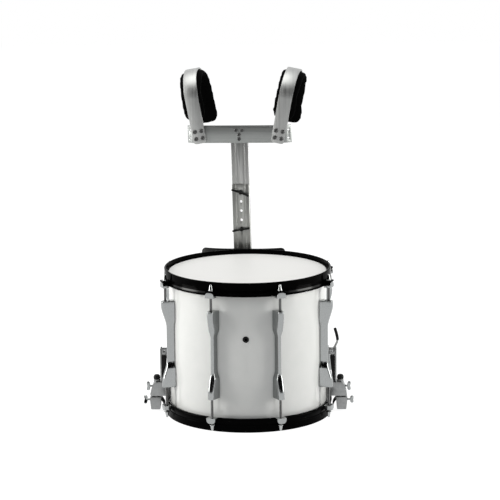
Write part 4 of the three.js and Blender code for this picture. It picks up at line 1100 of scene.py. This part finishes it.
# Belly plate
# A black coated steel plate, bent towards the player at its ends and rounded
# at its corners. A knuckle on its front turns on the hook.
plate_reach = 100
plate_flat = 30
plate_control = 65
plate_face = 15.7
plate_sweep = 15
plate_bottom, plate_top = 196, 331.5
low_corner, high_corner = 26, 10
black_coat = finish("black_coat", (0.006, 0.006, 0.006), 0, 0.4, specular=0.15)
grain(black_coat, scale=800, gloss=(0.36, 0.5), bump=0.2, depth=0.05)
half_line = [(0, plate_face), (plate_flat, plate_face)]
for step in range(1, 9):
    t = step / 8
    x = (1 - t) ** 2 * plate_flat + 2 * t * (1 - t) * plate_control + t * t * plate_reach
    half_line.append((x, plate_face + t * t * plate_sweep))
plate_line = [(-x, y) for x, y in reversed(half_line[1:])] + half_line
plate_rise = (0, 0, plate_top - plate_bottom)
plate = sheet("belly_sheet", [(x, y, plate_bottom) for x, y in plate_line], plate_rise)
low_x, low_z = plate_reach - low_corner, plate_bottom + low_corner
high_x, high_z = plate_reach - high_corner, plate_top - high_corner
corners = arc((-low_x, low_z), low_corner, 180, 270, 8) + arc((low_x, low_z), low_corner, 270, 360, 8)
corners += arc((high_x, high_z), high_corner, 0, 90, 5) + arc((-high_x, high_z), high_corner, 90, 180, 5)
window = extruded("plate_window", [(x, -20, z) for x, z in corners], (0, 100, 0))
thicken(plate, 3)
trim = plate.modifiers.new("trim", "BOOLEAN")
trim.operation = "INTERSECT"
trim.solver = "EXACT"
trim.object = window
apply_modifiers(plate)
bpy.data.objects.remove(window)
face_outwards(plate)
bevel(plate, 0.7, 2, 50)
knuckle = turned("knuckle", eased([(6.9, 266.9), (10, 266.9), (10, 300), (6.9, 300)], 0.9), 48)
knuckle_neck = slab("knuckle_neck", [(-6, 7.5), (6, 7.5), (6, 16), (-6, 16)], 267.5, 299.4)
plate = join(plate, knuckle, knuckle_neck)
place(plate, carrier_place)
smooth(plate, 35)
dress(plate, black_coat, "carrier", "black_plate", "belly_plate")

# Posts
# Two flat bars of brushed aluminium with fine grooves along them. The upper
# bar is slotted and slides behind the lower one to set the height.
post_front = 17.5
post_gap = 0.3
bar_thickness = 5
bar_half_width = 20.75
bar_chamfer = 0.8
groove_out, groove_half_width, groove_depth = 10.8, 1.0, 0.9
bolt_hole = 3.3
low_bolt, high_bolt = 378, 466
slot_bottom = 328
hole_pitch = 22
brushed_bar = finish("brushed_bar", (0.36, 0.365, 0.36), 1, 0.38)
brushed_lower = finish("brushed_lower_bar", (0.33, 0.335, 0.32), 1, 0.4)
for metal, tones in (
    (brushed_bar, ((0.38, 0.383, 0.378), (0.45, 0.453, 0.447))),
    (brushed_lower, ((0.38, 0.385, 0.37), (0.46, 0.465, 0.45))),
):
    grain(metal, scale=300, stretch=(1, 1, 0.02), tones=tones, gloss=(0.36, 0.44), bump=0.05, depth=0.05)


def bar_section(front):
    """The section of a bar with two grooves in its front."""
    back = front + bar_thickness
    flat = bar_half_width - bar_chamfer
    line = [(-bar_half_width, front + bar_chamfer), (-flat, front)]
    for middle in (-groove_out, groove_out):
        line.append((middle - groove_half_width, front))
        line.append((middle, front + groove_depth))
        line.append((middle + groove_half_width, front))
    line += [(flat, front), (bar_half_width, front + bar_chamfer)]
    line += [(bar_half_width, back - bar_chamfer), (flat, back)]
    return line + [(-flat, back), (-bar_half_width, back - bar_chamfer)]


lower_post = slab("lower_bar", bar_section(post_front), 214, 484)
for level in range(low_bolt, high_bolt + 1, hole_pitch):
    bore_along(lower_post, bolt_hole, (0, 10, level), (0, 30, level))
upper_post = slab("upper_bar", bar_section(post_front + bar_thickness + post_gap), 316, 622)
slot_line = arc((0, slot_bottom), bolt_hole, 180, 360, 10) + arc((0, high_bolt), bolt_hole, 0, 180, 10)
cut(upper_post, extruded("slot", [(x, 15, z) for x, z in slot_line], (0, 30, 0)))
for post, metal, body, node in (
    (lower_post, brushed_lower, "carrier", "lower_post"),
    (upper_post, brushed_bar, "upper_carrier", "upper_post"),
):
    bevel(post, 0.35, 2, 50)
    place(post, carrier_place)
    smooth(post, 30)
    dress(post, metal, body, "bar_metal", node)

# Post bolts
# Two black wing bolts clamp the bars together through their holes and the
# slot. Each was left at an angle of its own.
stem_outline = [(0, -15.3), (2.0, -15.3), (2.5, -14.7), (2.5, 0.3), (4.4, 0.3)]
stem_outline += [(4.8, 0.7), (4.8, 4.2), (4.4, 5.2), (3.4, 6.9), (2.4, 7.5), (0, 7.5)]
half_wing = [(0, 0.5), (6.2, 0.5), (16.2, 3.6), (21.4, 7.2), (21.7, 9.2)]
half_wing += [(20.2, 10.1), (15.5, 9.6), (6, 6.6), (0, 6.3)]
wing_line = half_wing + [(-x, y) for x, y in reversed(half_wing[1:-1])]
for name, level, tilt in (("lower", low_bolt, 10), ("upper", high_bolt, -20)):
    stem = turned("stem", stem_outline, 40, closed=False)
    wings = extruded_across("wings", eased(wing_line, 1.6, 3), 2.2)
    bevel(wings, 0.9, 3)
    bolt = join(stem, wings)
    bolt.name = bolt.data.name = name + "_wing_bolt"
    seat = Matrix.Translation((0, post_front * mm, level * mm)) @ Matrix.Rotation(radians(-tilt), 4, "Y")
    place(bolt, carrier_place @ seat @ Matrix.Rotation(pi / 2, 4, "X"))
    smooth(bolt, 40)
    node = name + "_post_bolt"
    dress(bolt, black_plastic, node, "black_plastic", node)

# Crossbar
# Flat brushed bar across the top of the post, its ends bent back. Four screws
# hold it to the post, and it has a pair of holes beside each shoulder band.
crossbar_bottom, crossbar_top = 583, 624
crossbar_middle = (crossbar_bottom + crossbar_top) / 2
bend_start, bend_end = 110, 122
bend_back = (bend_end - bend_start) * tan(radians(38))
band_aside, band_width = 95, 31.5
# The same brushed aluminium as the posts and bands, in a darker tone: painted shade, standing in for the
# grey that the crossbar reflects.
brushed_across_shaded = finish("brushed_across_shaded", (0.26, 0.27, 0.265), 1, 0.4)
grain(
    brushed_across_shaded,
    scale=300,
    stretch=(0.02, 0.02, 1),
    tones=((0.265, 0.275, 0.27), (0.32, 0.33, 0.325)),
    gloss=(0.38, 0.48),
    bump=0.06,
    depth=0.04,
)


def socket_screw(name, point, radius, matrix):
    """A round-headed screw with a hexagon socket, its head towards -Y."""
    head_outline = [(0, 0), (radius, 0), (radius, 1.0)]
    head_outline += arc((radius - 2.0, 1.2), 2.0, 0, 90, 5) + [(0, 3.2)]
    screw_head = turned(name, head_outline, 32, closed=False)
    bpy.ops.mesh.primitive_cylinder_add(
        vertices=6, radius=radius * 0.52 * mm, depth=4 * mm, location=(0, 0, 3 * mm)
    )
    cut(screw_head, bpy.context.object)
    bevel(screw_head, 0.15, 1, 50)
    seat = Matrix.Translation(Vector(point) * mm) @ Matrix.Rotation(pi / 2, 4, "X")
    place(screw_head, matrix @ seat)
    smooth(screw_head, 40)
    # The heads are dark all over: painted shade for the socket and the shaded side of each head.
    dress(screw_head, dark_steel_and_shade, "upper_carrier", "bright_metal")


bar_bends = [(-bend_end, post_front + bend_back), (-bend_start, post_front)]
bar_bends += [(bend_start, post_front), (bend_end, post_front + bend_back)]
bar_line = eased(bar_bends, 4, 5, closed=False)
bar_height = crossbar_top - crossbar_bottom
crossbar = sheet("cross_bar", [(x, y, crossbar_bottom) for x, y in bar_line], (0, 0, bar_height))
thicken(crossbar, 5)
face_outwards(crossbar)
place(crossbar, Matrix.Translation((0, 2.5 * mm, 0)))
for sideways in (-1, 1):
    x = sideways * (band_aside + band_width / 2 + 5.2)
    for z in (crossbar_middle - 9.5, crossbar_middle + 9.5):
        bore_along(crossbar, 2.6, (x, 0, z), (x, 60, z))
bevel(crossbar, 0.6, 2, 50)
place(crossbar, carrier_place)
smooth(crossbar, 35)
dress(crossbar, brushed_across_shaded, "upper_carrier", "bar_metal", "crossbar")
for index, (x, z) in enumerate(((-7, 613), (7, 613), (0, 602.5), (0, 592))):
    socket_screw(f"crossbar_screw_{index + 1}", (x, post_front, z), 4.3, carrier_place)

# Shoulder bands
# Two brushed aluminium bands arch over the shoulders. Each stands on the
# crossbar on four screws and leans outwards, the right-hand one a little more.
band_foot = 582
band_front = 13.2
band_thickness = 4
arch_centre = (69, 688)
arch_reach, arch_rise = 69, 65
arch_steps = 28
solid_lean = 9.3
band_leans = (("left", -1, 9.3), ("right", 1, 11.8))
band_metal = finish("band_metal", (0.5, 0.505, 0.5), 1, 0.36)
grain(
    band_metal,
    scale=300,
    stretch=(1, 0.02, 0.02),
    tones=((0.36, 0.365, 0.36), (0.45, 0.455, 0.45)),
    gloss=(0.38, 0.5),
    bump=0.08,
    depth=0.04,
)


def round_corners(piece, places, radius):
    """Rounds the corners of an open sheet that lie nearest to given points."""
    pick(piece)
    bpy.ops.object.mode_set(mode="EDIT")
    bpy.ops.mesh.select_mode(type="VERT")
    bpy.ops.mesh.select_all(action="DESELECT")
    object_mode()
    for point in places:
        target = Vector(point) * mm
        min(piece.data.vertices, key=lambda vertex: (vertex.co - target).length).select = True
    bpy.ops.object.mode_set(mode="EDIT")
    bpy.ops.mesh.bevel(offset=radius * mm, segments=6, affect="VERTICES", clamp_overlap=False)
    object_mode()


def leaning(sideways, lean):
    """The place of a band that leans outwards about the middle of the crossbar."""
    return (
        carrier_place
        @ Matrix.Translation((sideways * band_aside * mm, band_front * mm, crossbar_middle * mm))
        @ Matrix.Rotation(radians(sideways * lean), 4, "Y")
        @ Matrix.Translation((0, 0, -crossbar_middle * mm))
    )


band_line = [(0, band_foot), (0, 640), (0, arch_centre[1])]
for step in range(1, arch_steps + 1):
    angle = pi - pi * step / arch_steps
    band_line.append((arch_centre[0] + arch_reach * cos(angle), arch_centre[1] + arch_rise * sin(angle)))
band_line += [(138, 650), (138, 618)]
band_side = band_width / 2
for side, sideways, lean in band_leans:
    band_place = leaning(sideways, lean)
    band = sheet(side + "_band", [(-band_side, y, z) for y, z in band_line], (band_width, 0, 0))
    round_corners(band, ((-band_side, 0, band_foot), (band_side, 0, band_foot)), 7)
    face_outwards(band)
    thicken(band, band_thickness, -1)
    face_outwards(band)
    bevel(band, 0.7, 2, 50)
    place(band, band_place)
    smooth(band, 35)
    dress(band, band_metal, "upper_carrier", "bar_metal", side + "_shoulder_band")
    for index, (x, z) in enumerate(((-8, 611), (8, 611), (-8, 594), (8, 594))):
        socket_screw(f"{side}_band_screw_{index + 1}", (x, 0, z), 5.0, band_place)

# Cushions
# Foam cushions in black cloth: one under each shoulder band and one behind the
# belly plate. Each is blown up from its packed form, so it swells between its
# edges as stuffed cloth does.
cushion_swell = 5
cushion_mesh = 4
cushion_middle = 750
cushion_widening, cushion_lengthening = 1.14, 1.045
pad_cloth = finish("pad_cloth", (0.002, 0.002, 0.002), 0, 0.85, specular=0.02)
pad_shader = pad_cloth.node_tree.nodes["Principled BSDF"]
pad_shader.inputs["Sheen Weight"].default_value = 0.006
pad_shader.inputs["Sheen Roughness"].default_value = 0.5
grain(
    pad_cloth,
    scale=1800,
    tones=((0.0006, 0.0006, 0.0006), (0.002, 0.002, 0.002)),
    gloss=(0.75, 0.92),
    bump=0.5,
    depth=0.15,
)


def fuller(sideways, lean, aside):
    """Widens a shoulder cushion, shifts it aside and leans it with its band."""
    size = Matrix.Diagonal((cushion_widening, 1, cushion_lengthening, 1))
    larger = Matrix.Translation((aside * mm, 0, cushion_middle * mm)) @ size
    larger = larger @ Matrix.Translation((0, 0, -cushion_middle * mm))
    return leaning(sideways, lean) @ larger @ leaning(sideways, solid_lean).inverted()


def cushion(name, node, body, shrink, reshape):
    """Copies a packed cushion, shrinks and reshapes it, and blows it up."""
    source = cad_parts[node]
    pick(source)
    bpy.ops.object.duplicate(linked=False)
    pad = bpy.context.object
    pad.name = pad.data.name = name
    face_outwards(pad)
    bpy.ops.object.mode_set(mode="EDIT")
    bpy.ops.mesh.select_all(action="SELECT")
    bpy.ops.transform.shrink_fatten(value=-shrink * mm)
    object_mode()
    pad.data.transform(reshape)
    remesh = pad.modifiers.new("even_mesh", "REMESH")
    remesh.mode = "VOXEL"
    remesh.voxel_size = cushion_mesh * mm
    apply_modifiers(pad)
    rest = [vertex.co.copy() for vertex in pad.data.vertices]
    cloth = pad.modifiers.new("cloth", "CLOTH")
    cloth.settings.use_pressure = True
    cloth.settings.uniform_pressure_force = 4
    cloth.settings.effector_weights.gravity = 0
    for step in range(1, 21):
        bpy.context.scene.frame_set(step)
    apply_modifiers(pad)
    bpy.context.scene.frame_set(1)
    for vertex, start in zip(pad.data.vertices, rest):
        moved = vertex.co - start
        if moved.length > cushion_swell * mm:
            vertex.co = start + moved.normalized() * cushion_swell * mm
    soften = pad.modifiers.new("soften", "SMOOTH")
    soften.factor = 0.5
    soften.iterations = 3
    finer = pad.modifiers.new("finer", "SUBSURF")
    finer.levels = finer.render_levels = 1
    apply_modifiers(pad)
    smooth(pad, 80)
    dress(pad, pad_cloth, body, "black_foam", node)


for (side, sideways, lean), aside in zip(band_leans, (2.0, -1.5)):
    node = side + "_shoulder_pad"
    cushion(side + "_shoulder_cushion", node, "upper_carrier", 1.2, fuller(sideways, lean, aside))
cushion("belly_cushion", "belly_pad", "carrier", 1.5, Matrix.Identity(4))
